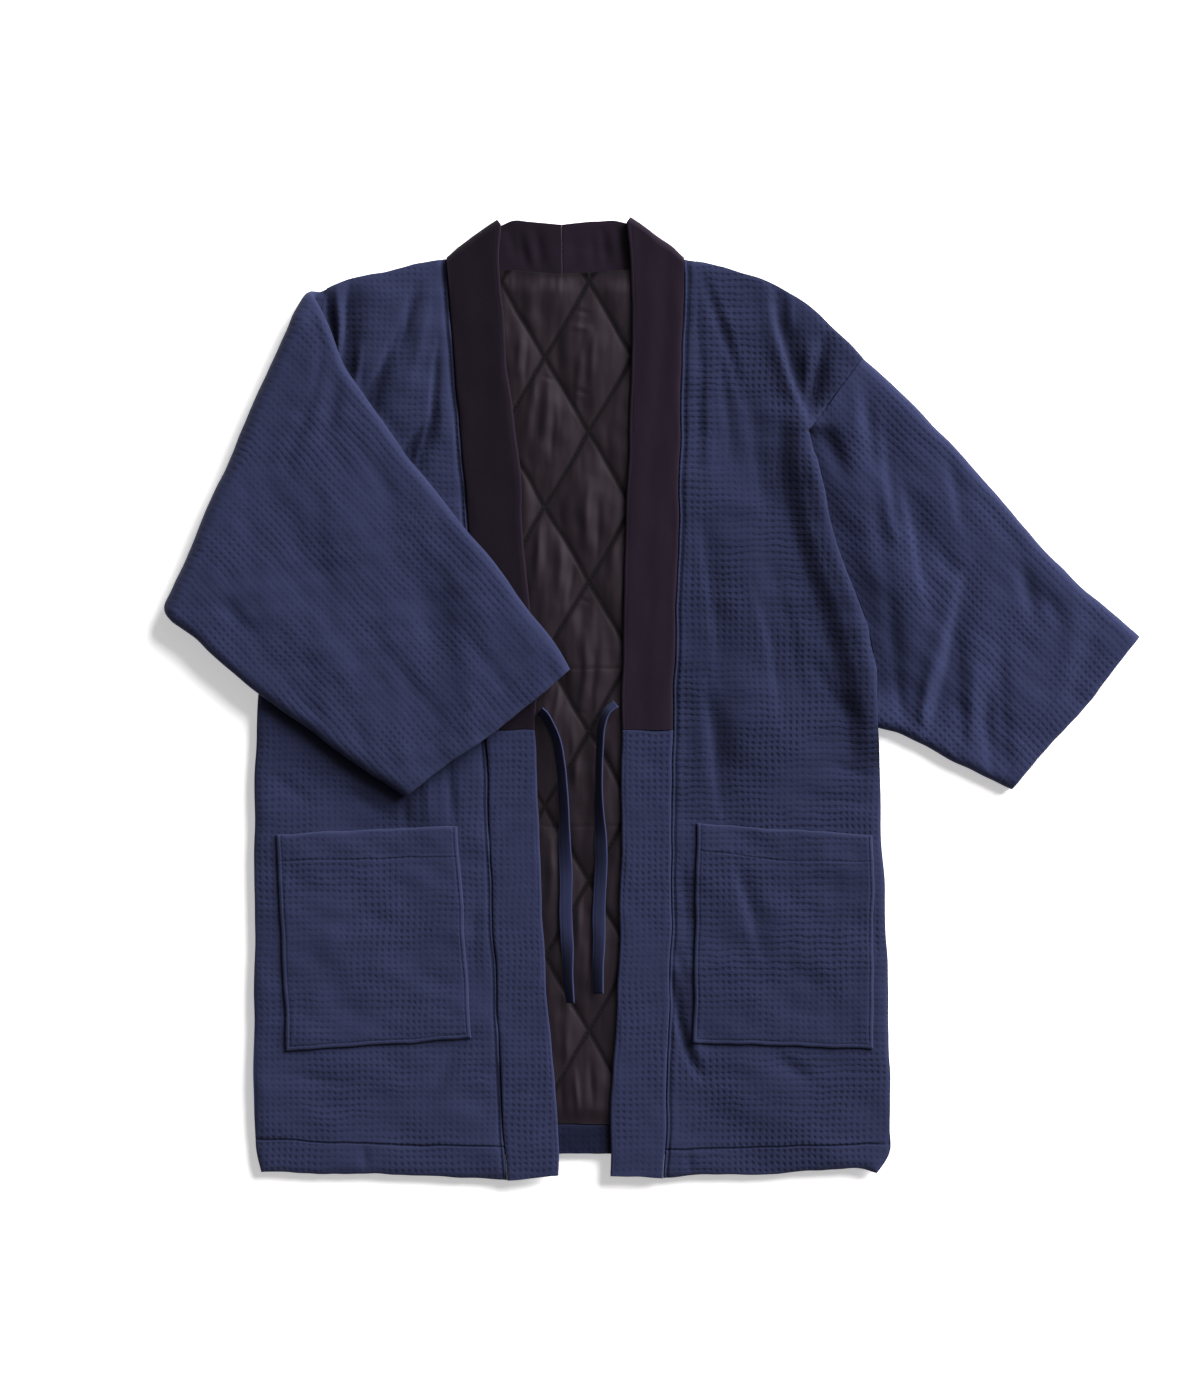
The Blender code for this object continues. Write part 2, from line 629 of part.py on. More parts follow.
def lining_edges(y):
    rows = LINING_ROWS
    for here, after in zip(rows, rows[1:]):
        if here[0] <= y <= after[0]:
            share = (y - here[0]) / (after[0] - here[0])
            return lerp(here[1], after[1], share), lerp(here[2], after[2], share)
    return (rows[-1][1], rows[-1][2]) if y > rows[-1][0] else (rows[0][1], rows[0][2])


def quilt_puff(x, y):
    across = (x - QUILT_CROSSING[0]) / QUILT_WIDTH
    along = (y - QUILT_CROSSING[1]) / QUILT_LENGTH
    wave = abs(math.sin(math.pi * (across + along)) * math.sin(math.pi * (across - along)))
    return math.sqrt(wave)


def lining_top(x, y):
    left, right = lining_edges(y)
    inside = min(x - left + LINING_TUCK, right + LINING_TUCK - x)
    near_end = min(y - LINING_ROWS[0][0], LINING_ROWS[-1][0] - y)
    fill = smooth(inside / LINING_SIDE_RISE) * lerp(0.25, 1.0, smooth(near_end / LINING_END_RISE))
    return BACK_TOP + LAYER_GAP + LINING_THIN + LINING_PUFF * quilt_puff(x, y) * fill


def make_lining(u, v, layer):
    y = lerp(LINING_ROWS[0][0], LINING_ROWS[-1][0], v)
    left, right = lining_edges(y)
    x = lerp(left - LINING_TUCK, right + LINING_TUCK, u)
    y -= LINING_NECK_DIP * math.sin(math.pi * u) * smooth((v - 0.9) * 10)
    return (x, y, lining_top(x, y) if layer else BACK_TOP + LAYER_GAP)


def make_hem_strip(u, v, layer):
    x = lerp(HEM_STRIP_X[0], HEM_STRIP_X[1], u)
    y = lerp(HEM_STRIP_Y[0], HEM_STRIP_Y[1], v)
    from_top = (1.0 - v) * (HEM_STRIP_Y[1] - HEM_STRIP_Y[0])
    top = HEM_STRIP_TOP - HEM_STRIP_DROP * (1.0 - rounded(from_top, HEM_STRIP_ROUND))
    return (x, y, top if layer else BACK_TOP + LAYER_GAP)


def pocket_maker(corners, surface, gape):
    def make(u, v, layer):
        bottom = Vector(corners[0]).lerp(Vector(corners[1]), u)
        top = Vector(corners[2]).lerp(Vector(corners[3]), u)
        x, y = bottom.lerp(top, v)
        mouth = gape * smooth((v - 1.0 + POCKET_MOUTH) / POCKET_MOUTH) * math.sin(math.pi * u)
        under = surface(x, y) + POCKET_LIFT + mouth
        edge = min(min(u, 1.0 - u) * POCKET_WIDTH, min(v, 1.0 - v) * POCKET_HEIGHT)
        thick = lerp(POCKET_EDGE_THICK, POCKET_THICK, rounded(edge, POCKET_EDGE))
        return (x, y, under + thick if layer else under)
    return make


def tie_maker(rows):
    """A flat strap, tilted about its centre line so that its lower edge stays on the lining."""
    def make(u, v, layer):
        centre = on_path(rows, v)
        tilt = math.radians(centre.z)
        ahead = on_path(rows, min(v + 0.01, 1.0)) - on_path(rows, max(v - 0.01, 0.0))
        ahead.z = 0
        ahead.normalize()
        sideways = Vector((-ahead.y, ahead.x, 0))
        across = sideways * math.cos(tilt) + Vector((0, 0, math.sin(tilt)))
        upward = Vector((0, 0, math.cos(tilt))) - sideways * math.sin(tilt)
        level = TIE_BED + TIE_WIDTH / 2 * math.sin(tilt) + TIE_THICK / 2 * math.cos(tilt)
        thick = TIE_THICK * lerp(TIE_EDGE_SHARE, 1.0, rounded(min(u, 1 - u) * TIE_WIDTH, TIE_EDGE))
        middle = Vector((centre.x, centre.y, level))
        return middle + across * (u - 0.5) * TIE_WIDTH + upward * (layer - 0.5) * thick
    return make


def build():
    remove_everything()
    coat = bpy.data.collections.new("kimono_coat")
    bpy.context.scene.collection.children.link(coat)

    def piece(name, across, along, place, colour=NAVY, roughness=0.9, wrap=False):
        mesh = grid_body(name, across, along, place, wrap)
        body = bpy.data.objects.new(name, mesh)
        mesh.materials.append(cloth_material(name, colour, roughness))
        coat.objects.link(body)

    across = shares(BACK_SIZE[0], 12)
    for row in NECK_CORNER_ROWS:
        across = with_share(across, row_share(BACK_SHOULDERS, row))
    along = with_share(shares(BACK_SIZE[1], 26), row_share(BACK_LEFT_SIDE, SEAM_CORNER_ROW))
    piece("back", across, along, make_back)
    along = with_share(shares(FRONT_SIZE[1], 36), row_share(LEFT_OUTER, SEAM_CORNER_ROW))
    piece("front_left", shares(FRONT_SIZE[0], 9), along, make_left_front)
    piece("front_right", shares(FRONT_SIZE[0], 9), shares(FRONT_SIZE[1], 34), make_right_front)

    ring = ring_shares(9, row_share(LEFT_SLEEVE_ROOT, 2))
    along = shares(LEFT_SLEEVE_LENGTH, 15, steps=CUFF_STEPS)
    piece("sleeve_left", ring, along, make_left_sleeve, NAVY_SLEEVE, wrap=True)
    beside = [0.0, FOLD_START / 2, FOLD_START]
    turning = [lerp(FOLD_START, FOLD_END, step / 8) for step in range(1, 9)]
    turned = shares(TURNED_SLEEVE_LENGTH, 14, steps=CUFF_STEPS, near=False)[1:]
    along = beside + turning + [lerp(FOLD_END, 1.0, share) for share in turned]
    piece("sleeve_right", ring_shares(9), along, make_right_sleeve, NAVY_SLEEVE, wrap=True)

    across = shares(BAND_WIDTH, 3, steps=BAND_RIM_STEPS)
    neck = [NECK_PART * step / 5 for step in range(6)]
    turning = [NECK_PART + TURN_PART * step / 7 for step in range(1, 8)]
    leg = [lerp(NECK_PART + TURN_PART, 1.0, step / 16) for step in range(1, 17)]
    make = collar_maker(LEFT_SEAM, COLLAR_LEFT_FREE, NECK_LEFT_SEAM, NECK_LEFT_FREE)
    piece("collar_left", across, neck + turning + leg, make, BLACK)
    make = collar_maker(RIGHT_SEAM, COLLAR_RIGHT_FREE, NECK_RIGHT_SEAM, NECK_RIGHT_FREE)
    piece("collar_right", across, neck + turning + leg, make, BLACK)
    along = [step / BAND_STEPS for step in range(BAND_STEPS + 1)]
    piece("band_left", across, along, band_maker(LEFT_SEAM, BAND_LEFT_FREE))
    piece("band_right", across, along, band_maker(RIGHT_SEAM, BAND_RIGHT_FREE))

    across = shares(LINING_SIZE[0], 14, steps=LINING_STEPS)
    along = shares(LINING_SIZE[1], 60, steps=LINING_STEPS)
    piece("lining", across, along, make_lining, LINING_BLACK, 0.5)
    across = [step / 4 for step in range(5)]
    along = shares(HEM_STRIP_Y[1] - HEM_STRIP_Y[0], 2, steps=HEM_STRIP_STEPS)
    piece("hem_back", across, along, make_hem_strip)

    across = shares(POCKET_WIDTH, 7, steps=POCKET_STEPS)
    along = shares(POCKET_HEIGHT, 9, steps=POCKET_STEPS)
    piece("pocket_left", across, along, pocket_maker(POCKET_LEFT, left_front_top, POCKET_LEFT_GAPE))
    piece("pocket_right", across, along, pocket_maker(POCKET_RIGHT, right_front_top, POCKET_RIGHT_GAPE))
    along = [step / TIE_STEPS for step in range(TIE_STEPS + 1)]
    piece("tie_left", TIE_COLUMNS, along, tie_maker(TIE_LEFT))
    piece("tie_right", TIE_COLUMNS, along, tie_maker(TIE_RIGHT))


build()
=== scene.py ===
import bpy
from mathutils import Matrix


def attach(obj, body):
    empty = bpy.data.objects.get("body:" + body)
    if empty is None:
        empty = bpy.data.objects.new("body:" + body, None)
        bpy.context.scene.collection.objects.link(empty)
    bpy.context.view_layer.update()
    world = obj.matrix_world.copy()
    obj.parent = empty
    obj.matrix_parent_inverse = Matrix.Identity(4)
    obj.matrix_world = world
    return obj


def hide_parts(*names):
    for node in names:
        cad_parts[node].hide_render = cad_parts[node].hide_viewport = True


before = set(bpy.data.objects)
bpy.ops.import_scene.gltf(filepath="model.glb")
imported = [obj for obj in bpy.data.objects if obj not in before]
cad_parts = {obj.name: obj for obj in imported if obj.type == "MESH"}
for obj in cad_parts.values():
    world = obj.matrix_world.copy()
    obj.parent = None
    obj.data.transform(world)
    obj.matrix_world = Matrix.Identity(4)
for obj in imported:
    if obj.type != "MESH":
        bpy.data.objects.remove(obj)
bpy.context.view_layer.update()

import math

import bmesh
import bpy
import numpy as np
from mathutils import Vector
from mathutils.bvhtree import BVHTree

# A padded kimono coat laid flat, one sleeve folded over the front. Tables are in millimetres, seen
# from above. Meshes are made in metres, in the frame's own place.
mm = 0.001
scene = bpy.context.scene
scene.view_settings.view_transform = "Standard"


# Camera, light and floor.
stageLook = {
    "frameHeight": 1.3094,        # metres of floor that the picture covers from top to bottom
    "aim": (0.0329, 0.0033, 0.014),
    "distance": 3.6,
    "sensor": 36.0,
    "clip": (0.05, 50.0),
    "keyAngle": 40.0,             # how wide the main light looks, in degrees
    "keyHeight": 26.5,            # its height above the floor, in degrees
    "keyFrom": 43.0,              # its direction, in degrees from +X toward +Y
    "keyPower": 10.1,
    "keyColour": (1.0, 0.985, 0.97),
    "gleamAngle": 84.0,
    "gleamPower": 4.4,
    "fillPower": 0.14,
    "fillColour": (1.0, 0.98, 0.99),
    "floorColour": (0.93, 0.925, 0.928),
    "floorGlow": 0.45,
    "floorHalf": 40.0,            # half its side, in metres
    "floorLevel": -0.0004,
}


def makeSun(name, angle, power, direction):
    lamp = bpy.data.lights.new(name, "SUN")
    lamp.angle = math.radians(angle)
    lamp.energy = power
    sun = bpy.data.objects.new(name, lamp)
    sun.rotation_mode = "QUATERNION"
    sun.rotation_quaternion = direction.to_track_quat("Z", "Y")
    scene.collection.objects.link(sun)
    return sun


def makeStage(look):
    aim = Vector(look["aim"])
    eye = bpy.data.cameras.new("camera")
    eye.sensor_width = look["sensor"]
    eye.lens = look["sensor"] * look["distance"] / look["frameHeight"]
    eye.clip_start, eye.clip_end = look["clip"]
    camera = bpy.data.objects.new("camera", eye)
    camera.location = aim + Vector((0, 0, look["distance"]))
    scene.collection.objects.link(camera)
    scene.camera = camera
    high, way = math.radians(look["keyHeight"]), math.radians(look["keyFrom"])
    toLight = Vector((math.cos(way) * math.cos(high), math.sin(way) * math.cos(high), math.sin(high)))
    key = makeSun("softKey", look["keyAngle"], look["keyPower"], toLight)
    key.data.color = look["keyColour"]
    key.visible_glossy = False
    # The satin's gleam comes from a much wider and weaker light on the same side.
    gleam = makeSun("wideGleam", look["gleamAngle"], look["gleamPower"], toLight)
    gleam.visible_diffuse = False
    world = bpy.data.worlds.new("paleRoom")
    world.use_nodes = True
    room = world.node_tree.nodes["Background"]
    room.inputs["Color"].default_value = (*look["fillColour"], 1.0)
    room.inputs["Strength"].default_value = look["fillPower"]
    scene.world = world
    plane = bpy.data.meshes.new("floor")
    half, level = look["floorHalf"], look["floorLevel"]
    corners = ((-half, -half), (half, -half), (half, half), (-half, half))
    plane.from_pydata([(x, y, level) for x, y in corners], [], [(0, 1, 2, 3)])
    floor = bpy.data.objects.new("floor", plane)
    pale = bpy.data.materials.new("paleFloor")
    pale.use_nodes = True
    shader = pale.node_tree.nodes["Principled BSDF"]
    shader.inputs["Base Color"].default_value = (*look["floorColour"], 1.0)
    shader.inputs["Roughness"].default_value = 0.9
    shader.inputs["Emission Color"].default_value = (*look["floorColour"], 1.0)
    shader.inputs["Emission Strength"].default_value = look["floorGlow"]
    plane.materials.append(pale)
    scene.collection.objects.link(floor)


makeStage(stageLook)
print("stage: camera, soft light and pale floor")


# Shader maths. A Level is a socket that takes + - * / ** like a number.
class Level:
    def __init__(self, cloth, socket):
        self.cloth, self.socket = cloth, socket

    def __add__(self, other):
        return self.cloth.maths("ADD", self, other)

    def __radd__(self, other):
        return self.cloth.maths("ADD", other, self)

    def __sub__(self, other):
        return self.cloth.maths("SUBTRACT", self, other)

    def __rsub__(self, other):
        return self.cloth.maths("SUBTRACT", other, self)

    def __mul__(self, other):
        return self.cloth.maths("MULTIPLY", self, other)

    def __rmul__(self, other):
        return self.cloth.maths("MULTIPLY", other, self)

    def __truediv__(self, other):
        return self.cloth.maths("DIVIDE", self, other)

    def __pow__(self, other):
        return self.cloth.maths("POWER", self, other)


class Cloth:
    def __init__(self, name):
        self.material = bpy.data.materials.new(name)
        self.material.use_nodes = True
        self.tree = self.material.node_tree
        self.shader = self.tree.nodes["Principled BSDF"]

    def give(self, value, socket):
        if isinstance(value, Level):
            self.tree.links.new(value.socket, socket)
        else:
            socket.default_value = value

    def node(self, kind, settings=None, values=None, output=0):
        made = self.tree.nodes.new(kind)
        for key, value in (settings or {}).items():
            setattr(made, key, value)
        for key, value in (values or {}).items():
            self.give(value, made.inputs[key])
        return Level(self, made.outputs[output])

    def maths(self, operation, *values):
        return self.node("ShaderNodeMath", {"operation": operation}, dict(enumerate(values)))

    def weave(self):
        return self.node("ShaderNodeUVMap", {"uv_map": "weave"})

    def parts(self, vector):
        split = self.node("ShaderNodeSeparateXYZ", {}, {0: vector}).socket.node
        return [Level(self, split.outputs[axis]) for axis in range(3)]

    def noise(self, place, scale, detail=2.0):
        return self.node("ShaderNodeTexNoise", {}, {"Vector": place, "Scale": scale, "Detail": detail})

    def stretched(self, place, across, along, turn=0.0):
        values = {"Vector": place, "Rotation": (0, 0, math.radians(turn)), "Scale": (across, along, 1.0)}
        return self.node("ShaderNodeMapping", {}, values)

    def clamp(self, value):
        return self.node("ShaderNodeClamp", {}, {"Value": value})

    def ease(self, value, low, high):
        return self.node("ShaderNodeMapRange", {"interpolation_type": "SMOOTHSTEP"},
                         {"Value": value, "From Min": low, "From Max": high})

    def blend(self, share, first, second):
        first, second = (value if isinstance(value, Level) else (*value, 1.0) for value in (first, second))
        return self.node("ShaderNodeMix", {"data_type": "RGBA"}, {0: share, 6: first, 7: second}, output=2)

    def attribute(self, name):
        return self.node("ShaderNodeAttribute", {"attribute_name": name}, {}, output=2)

    def finish(self, colour, roughness, height, depth, sheen=(0.08, 0.5, (0.6, 0.65, 0.9)), gloss=0.12):
        self.give(colour, self.shader.inputs["Base Color"])
        self.give(roughness, self.shader.inputs["Roughness"])
        bump = self.node("ShaderNodeBump", {}, {"Height": height, "Distance": depth, "Strength": 1.0})
        self.give(bump, self.shader.inputs["Normal"])
        self.shader.inputs["Sheen Weight"].default_value = sheen[0]
        self.shader.inputs["Sheen Roughness"].default_value = sheen[1]
        self.shader.inputs["Sheen Tint"].default_value = (*sheen[2], 1.0)
        self.shader.inputs["Specular IOR Level"].default_value = gloss
        return self.material


def scaled(colour, share):
    return tuple(value * share for value in colour)


clothLook = {
    "pitch": (5.8, 6.1),                    # waffle cells, across and along the cloth
    "pit": (0.30, 0.33),                    # half sizes of a pit, as shares of a cell
    "slow": (26.0, 0.9),                    # scales of noise, and how many cells it moves the grid
    "sway": (60.0, 0.8),
    "twill": (900.0, 170.0, 32.0),          # threads across and along, and their turn in degrees
    "fibre": 2300.0,
    "ripple": 75.0,
    "ridge": (0.0180, 0.0220, 0.0563),
    "pitColour": (0.0101, 0.0123, 0.0352),
    # paintedShade is the colour that painted shade in creases, grooves and under the folded sleeve darkens
    # toward
    "paintedShade": (0.0026, 0.0035, 0.0120),
    "rubbed": (0.0273, 0.0321, 0.0757),
    "depth": 0.38,
}
quiltLook = {
    "width": 83.0,
    "length": 141.0,
    "crossing": (-19.0, 323.0),             # where two quilting lines cross
    "line": 1.0,
    "ahead": 40.5,                          # whole diamonds and a half, which keep the shares above 0
}


def waffleCloth(name, tone=1.0, rows=0.25, pits=1.0, lengthwise=False):
    # Navy cotton with a grid of small pits. rows joins the pits into lines, across or lengthwise.
    look = clothLook
    cloth = Cloth(name)
    place = cloth.weave()
    slow = cloth.noise(place, look["slow"][0])
    sway = cloth.noise(cloth.stretched(place, 1.0, 1.0, 40.0), look["sway"][0], 1.0)
    calm = cloth.ease(cloth.noise(place, 15.0), 0.36, 0.62)
    x, y, _ = cloth.parts(place)
    across = x / (look["pitch"][0] * mm) + (slow - 0.5) * look["slow"][1]
    along = y / (look["pitch"][1] * mm) + (sway - 0.5) * look["sway"][1]
    cellX = cloth.maths("FRACT", across) - 0.5
    cellY = cloth.maths("FRACT", along) - 0.5
    reach = (cellX / look["pit"][0]) ** 2.0 + (cellY / look["pit"][1]) ** 2.0
    pit = cloth.ease(reach, 1.5, 0.0)
    side = cellX if lengthwise else cellY
    line = cloth.ease((side / (look["pit"][0] * 0.75)) ** 2.0, 1.4, 0.0)
    patch = cloth.ease(cloth.noise(place, 11.0, 3.0), 0.35, 0.65)
    grid = cloth.clamp(pit * (1.0 - patch * rows * 0.7) + line * patch * rows)
    grid = grid * (calm * 0.6 + 0.4)
    corner = cloth.maths("FLOOR", across)
    level = cloth.maths("FLOOR", along)
    cellPlace = cloth.node("ShaderNodeCombineXYZ", {}, {0: corner, 1: level})
    chance = cloth.node("ShaderNodeTexWhiteNoise", {"noise_dimensions": "2D"}, {"Vector": cellPlace})
    wearAndShading = cloth.attribute("wearAndShading")
    light, dark = cloth.clamp(wearAndShading), cloth.clamp(0.0 - wearAndShading)
    keep = cloth.clamp(1.0 - light) * pits
    twill = cloth.noise(cloth.stretched(place, *look["twill"]), 1.0)
    fibre = cloth.noise(place, look["fibre"])
    share = (1.0, 0.22) if lengthwise else (0.22, 1.0)
    ripple = cloth.noise(cloth.stretched(place, *share), look["ripple"])
    shadow = cloth.clamp(grid * keep * (0.48 + chance * 0.5))
    ridge, deep, rubbed = (scaled(look[name], tone) for name in ("ridge", "pitColour", "rubbed"))
    base = cloth.blend(cloth.clamp(twill * 1.6 - 0.3), scaled(ridge, 0.84), scaled(ridge, 1.16))
    tint = cloth.blend(cloth.clamp(ripple * 2.4 - 0.7), scaled(ridge, 0.86), base)
    colour = cloth.blend(shadow, tint, deep)
    colour = cloth.blend(light * 0.5, colour, rubbed)
    # Painted shade: darkens toward the shade colour where the per-point value is below 0.
    colour = cloth.blend(dark * 0.85, colour, look["paintedShade"])
    height = (1.0 - grid * keep) + twill * 0.12 + fibre * 0.08 - 0.15 * chance + ripple * 0.6
    return cloth.finish(colour, 0.86 - shadow * 0.06, height, look["depth"] * mm)


def plainCloth(name, dark, light, sheen, roughness=0.8, depth=0.00012):
    # Smooth close weave with faint streaks along it.
    cloth = Cloth(name)
    place = cloth.weave()
    streak = cloth.noise(cloth.stretched(place, 1.0, 0.22), 70.0, 3.0)
    weave = cloth.noise(cloth.stretched(place, 1500.0, 500.0, 28.0), 1.0)
    fibre = cloth.noise(place, 2600.0)
    wearAndShading = cloth.attribute("wearAndShading")
    share = cloth.clamp((streak - 0.5) * 1.5 + 0.45 + (weave - 0.5) * 0.5)
    colour = cloth.blend(share, dark, light)
    colour = cloth.blend(cloth.clamp(wearAndShading * 0.6), colour, scaled(light, 1.6))
    # Below 0 the colour is darkened as painted shade, which darkens the collar legs.
    colour = cloth.blend(cloth.clamp(0.0 - wearAndShading), colour, scaled(dark, 0.3))
    return cloth.finish(colour, roughness, weave * 0.6 + fibre * 0.4, depth, sheen)


def satinCloth(name, dark, light):
    # Satin with fine creases along it, pulled in along two families of quilting lines, with painted shade
    # along the lines.
    look = quiltLook
    cloth = Cloth(name)
    place = cloth.weave()
    x, y, _ = cloth.parts(place)
    across = (x - look["crossing"][0] * mm) / (look["width"] * mm)
    along = (y - look["crossing"][1] * mm) / (look["length"] * mm)
    first = cloth.maths("FRACT", across + along + look["ahead"]) - 0.5
    second = cloth.maths("FRACT", across - along + look["ahead"]) - 0.5
    nearer = cloth.maths("MINIMUM", first ** 2.0, second ** 2.0)
    scale = 1.0 / math.hypot(1 / look["width"], 1 / look["length"])
    wide = (look["line"] / scale) ** 2
    seam = cloth.ease(nearer, wide * 2.2, wide * 0.2)
    pull = cloth.ease(nearer, wide * 14.0, 0.0)
    wash = cloth.noise(cloth.stretched(place, 1.0, 0.3), 40.0, 3.0)
    thread = cloth.noise(cloth.stretched(place, 2600.0, 260.0), 1.0)
    crease = cloth.noise(cloth.stretched(place, 1.0, 0.22, 6.0), 95.0, 1.0)
    broad = cloth.noise(cloth.stretched(place, 1.0, 0.35, -6.0), 48.0, 1.0)
    wearAndShading = cloth.attribute("wearAndShading")
    colour = cloth.blend(cloth.clamp(wash * 1.8 - 0.4), dark, light)
    # Painted shade along the quilting lines, where the cloth is pulled in beside them, and where the
    # per-point value is below 0.
    colour = cloth.blend(cloth.clamp(seam * 0.95 + pull * 0.25 - wearAndShading), colour, scaled(dark, 0.15))
    height = crease * 0.42 + broad * 1.1 + thread * 0.015 - pull * 0.14 - seam * 0.12
    cloth.shader.inputs["Specular Tint"].default_value = (1.0, 0.86, 0.98, 1.0)
    gloss = cloth.clamp(0.44 + thread * 0.10 - wearAndShading * 0.3 + pull * 0.35)
    return cloth.finish(colour, gloss, height, 0.0015, (0.08, 0.35, (0.95, 0.85, 0.95)), 0.34)


shellCloth = waffleCloth("navyWaffle", 0.95, 0.35)
crispCloth = waffleCloth("navyWaffleCrisp", 0.90, 0.5, 1.3)
sleeveCloth = waffleCloth("navyWaffleSleeve", 1.16, 0.35, 1.0, True)
foldedCloth = waffleCloth("navyWaffleFolded", 0.98, 0.45, 0.85, True)
bandCloth = waffleCloth("navyWaffleBand", 0.95, 0.2)
tieCloth = plainCloth("navyStrap", (0.0101, 0.0125, 0.0359), (0.0160, 0.0194, 0.0504),
                      (0.1, 0.5, (0.6, 0.65, 0.9)))
collarCloth = plainCloth("blackCollar", (0.0072, 0.0044, 0.0093), (0.0123, 0.0075, 0.0147),
                         (0.05, 0.45, (0.8, 0.7, 0.85)))
liningCloth = satinCloth("darkSatin", (0.0044, 0.0030, 0.0049), (0.0101, 0.0067, 0.0099))
navyThread = plainCloth("navyThread", (0.008, 0.011, 0.030), (0.018, 0.023, 0.058),
                        (0.05, 0.5, (0.6, 0.65, 0.9)))
darkThread = plainCloth("darkThread", (0.006, 0.005, 0.007), (0.014, 0.011, 0.014),
                        (0.1, 0.5, (0.8, 0.8, 0.9)))
print("materials: waffle, collar, satin, strap and thread")


# Sizes and outlines, as in the solids to a millimetre, apart from the folded sleeve's top corner,
# which is tighter. A point given twice is a corner.
seamGap, layerGap, hiddenGap = 0.3, 0.3, 0.9
backTop, frontFull, rimThickness, rimRadius = 7.0, 13.6, 3.0, 12.0
seamCornerRow = 13
leftOuter = [
    (293, -445), (305, -425), (306, -404), (306, -380), (303, -245), (299, -145), (295, -42), (294, -14),
    (292, 31), (285, 70), (263, 125), (249, 171), (238, 226), (229, 253), (229, 253), (281, 322)]
leftSeam = [
    (93, -450), (95, -380), (99, -245), (101, -28), (105, 101), (108, 235), (110, 340), (113, 415)]
leftShoulder = [(113, 415), (155, 405), (187, 396), (211, 383), (236, 366), (263, 340), (281, 322)]
leftHem = [(93, -450), (127, -447), (193, -446), (249, -442), (280, -441), (293, -445)]
rightOuter = [
    (-286, -444), (-291, -423), (-292, -410), (-292, -245), (-292, -112), (-290, -19), (-288, 9),
    (-281, 94), (-267, 207), (-248, 301), (-224, 388)]
rightSeam = [
    (-55, -452), (-59, -380), (-65, -260), (-70, -150), (-75, -28), (-82, 60), (-91, 161), (-100, 270),
    (-107, 350), (-112, 415)]
rightShoulder = [(-112, 415), (-134, 412), (-164, 404), (-198, 397), (-215, 392), (-224, 388)]
rightHem = [(-55, -452), (-138, -447), (-212, -446), (-286, -444)]
backLeftSide = [
    (290, -438), (303, -419), (305, -404), (304, -380), (301, -245), (297, -145), (293, -26),
    (286, 6), (277, 42), (265, 84), (250, 125), (236, 171), (228, 212), (229, 253), (229, 253), (281, 322)]
backRightSide = [
    (-283, -440), (-289, -423), (-291, -410), (-291, -245), (-291, -112), (-290, -19), (-288, 9),
    (-281, 94), (-267, 207), (-248, 301), (-224, 388)]
backShoulders = [
    (-224, 388), (-198, 397), (-164, 404), (-134, 412), (-115, 412), (-107, 402), (-62, 401), (-3, 397),
    (62, 402), (108, 402), (116, 412), (155, 405), (187, 396), (211, 383), (236, 366), (263, 340),
    (281, 322)]
backHem = [(-283, -440), (-155, -432), (19, -427), (183, -432), (290, -438)]
leftSleeveRoot = backLeftSide[:5:-1]
leftSleeveTop = [(281, 322), (315, 291), (393, 208), (464, 128), (522, 76), (541, 60)]
leftSleeveCuff = [(541, 60), (500, 6), (464, -34), (421, -84)]
leftSleeveUnder = [(293, -26), (313, -32), (338, -43), (376, -63), (421, -84)]
rightSleeveRoot = [(-224, 388), (-248, 301), (-267, 207), (-281, 94), (-288, 9)]
rightSleeveLowUnder = [(-288, 9), (-322, 41), (-364, 83)]
foldLow = [(-230, 385.5), (-364, 83)]
foldHigh = [(-234.5, 378), (-368, 73)]
rightSleeveTop = [
    (-234.5, 378), (-224, 357), (-213, 329), (-207, 314), (-182, 278), (-155, 239), (-91, 158),
    (-55, 114), (-42, 94), (-12, 57), (4, 29)]
rightSleeveUnder = [
    (-368, 73), (-348, 58), (-336, 47), (-306, 21), (-289, 7), (-241, -27), (-197, -59), (-150, -91)]
rightSleeveCuff = [(4, 29), (-27, 1), (-74, -36), (-111, -61), (-135, -79), (-150, -91)]
collarTop, collarEnd = 410.0, -28.0
collarLeftFree = [(58, 449), (63, 373), (61, 282), (55, 101), (53, collarEnd)]
neckLeftSeam = [(112.4, collarTop), (100, 405.5), (62, 404.5), (-2.95, 400)]
neckLeftFree = [(58, 449), (46, 451.5), (30, 450.5), (-2.95, 448.5)]
collarRightFree = [
    (-60, 447), (-62, 402), (-57, 357), (-55, 312), (-51, 282), (-44, 235), (-39, 151), (-27, 0),
    (-28, collarEnd)]
neckRightSeam = [(-111.2, collarTop), (-99, 405.5), (-62, 404), (-3.05, 400)]
neckRightFree = [(-60, 447), (-48, 451.5), (-35, 450.5), (-3.05, 448.5)]
bandLeftFree = [(53, collarEnd), (52, -179), (49, -279), (43, -380), (43, -447)]
bandRightFree = [(-28, collarEnd), (-20, -229), (-14, -313), (-8, -380), (-6, -447)]


# Sums on whole grids of points at once.
def smooth(value):
    # 0 to 1, level at both ends.
    value = np.clip(value, 0.0, 1.0)
    return value * value * (3.0 - 2.0 * value)


def mix(first, second, share):
    return first + (second - first) * share


def rounded(distance, radius):
    # The height of a round edge, 0 at the edge and 1 from the radius inward.
    short = 1.0 - np.clip(distance / radius, 0.0, 1.0)
    return np.sqrt(np.maximum(1.0 - short * short, 0.0))


def bell(distance, width):
    return np.exp(-(distance / width) ** 2)


def runLengths(points):
    return np.concatenate([[0.0], np.cumsum(np.linalg.norm(np.diff(points, axis=0), axis=1))])


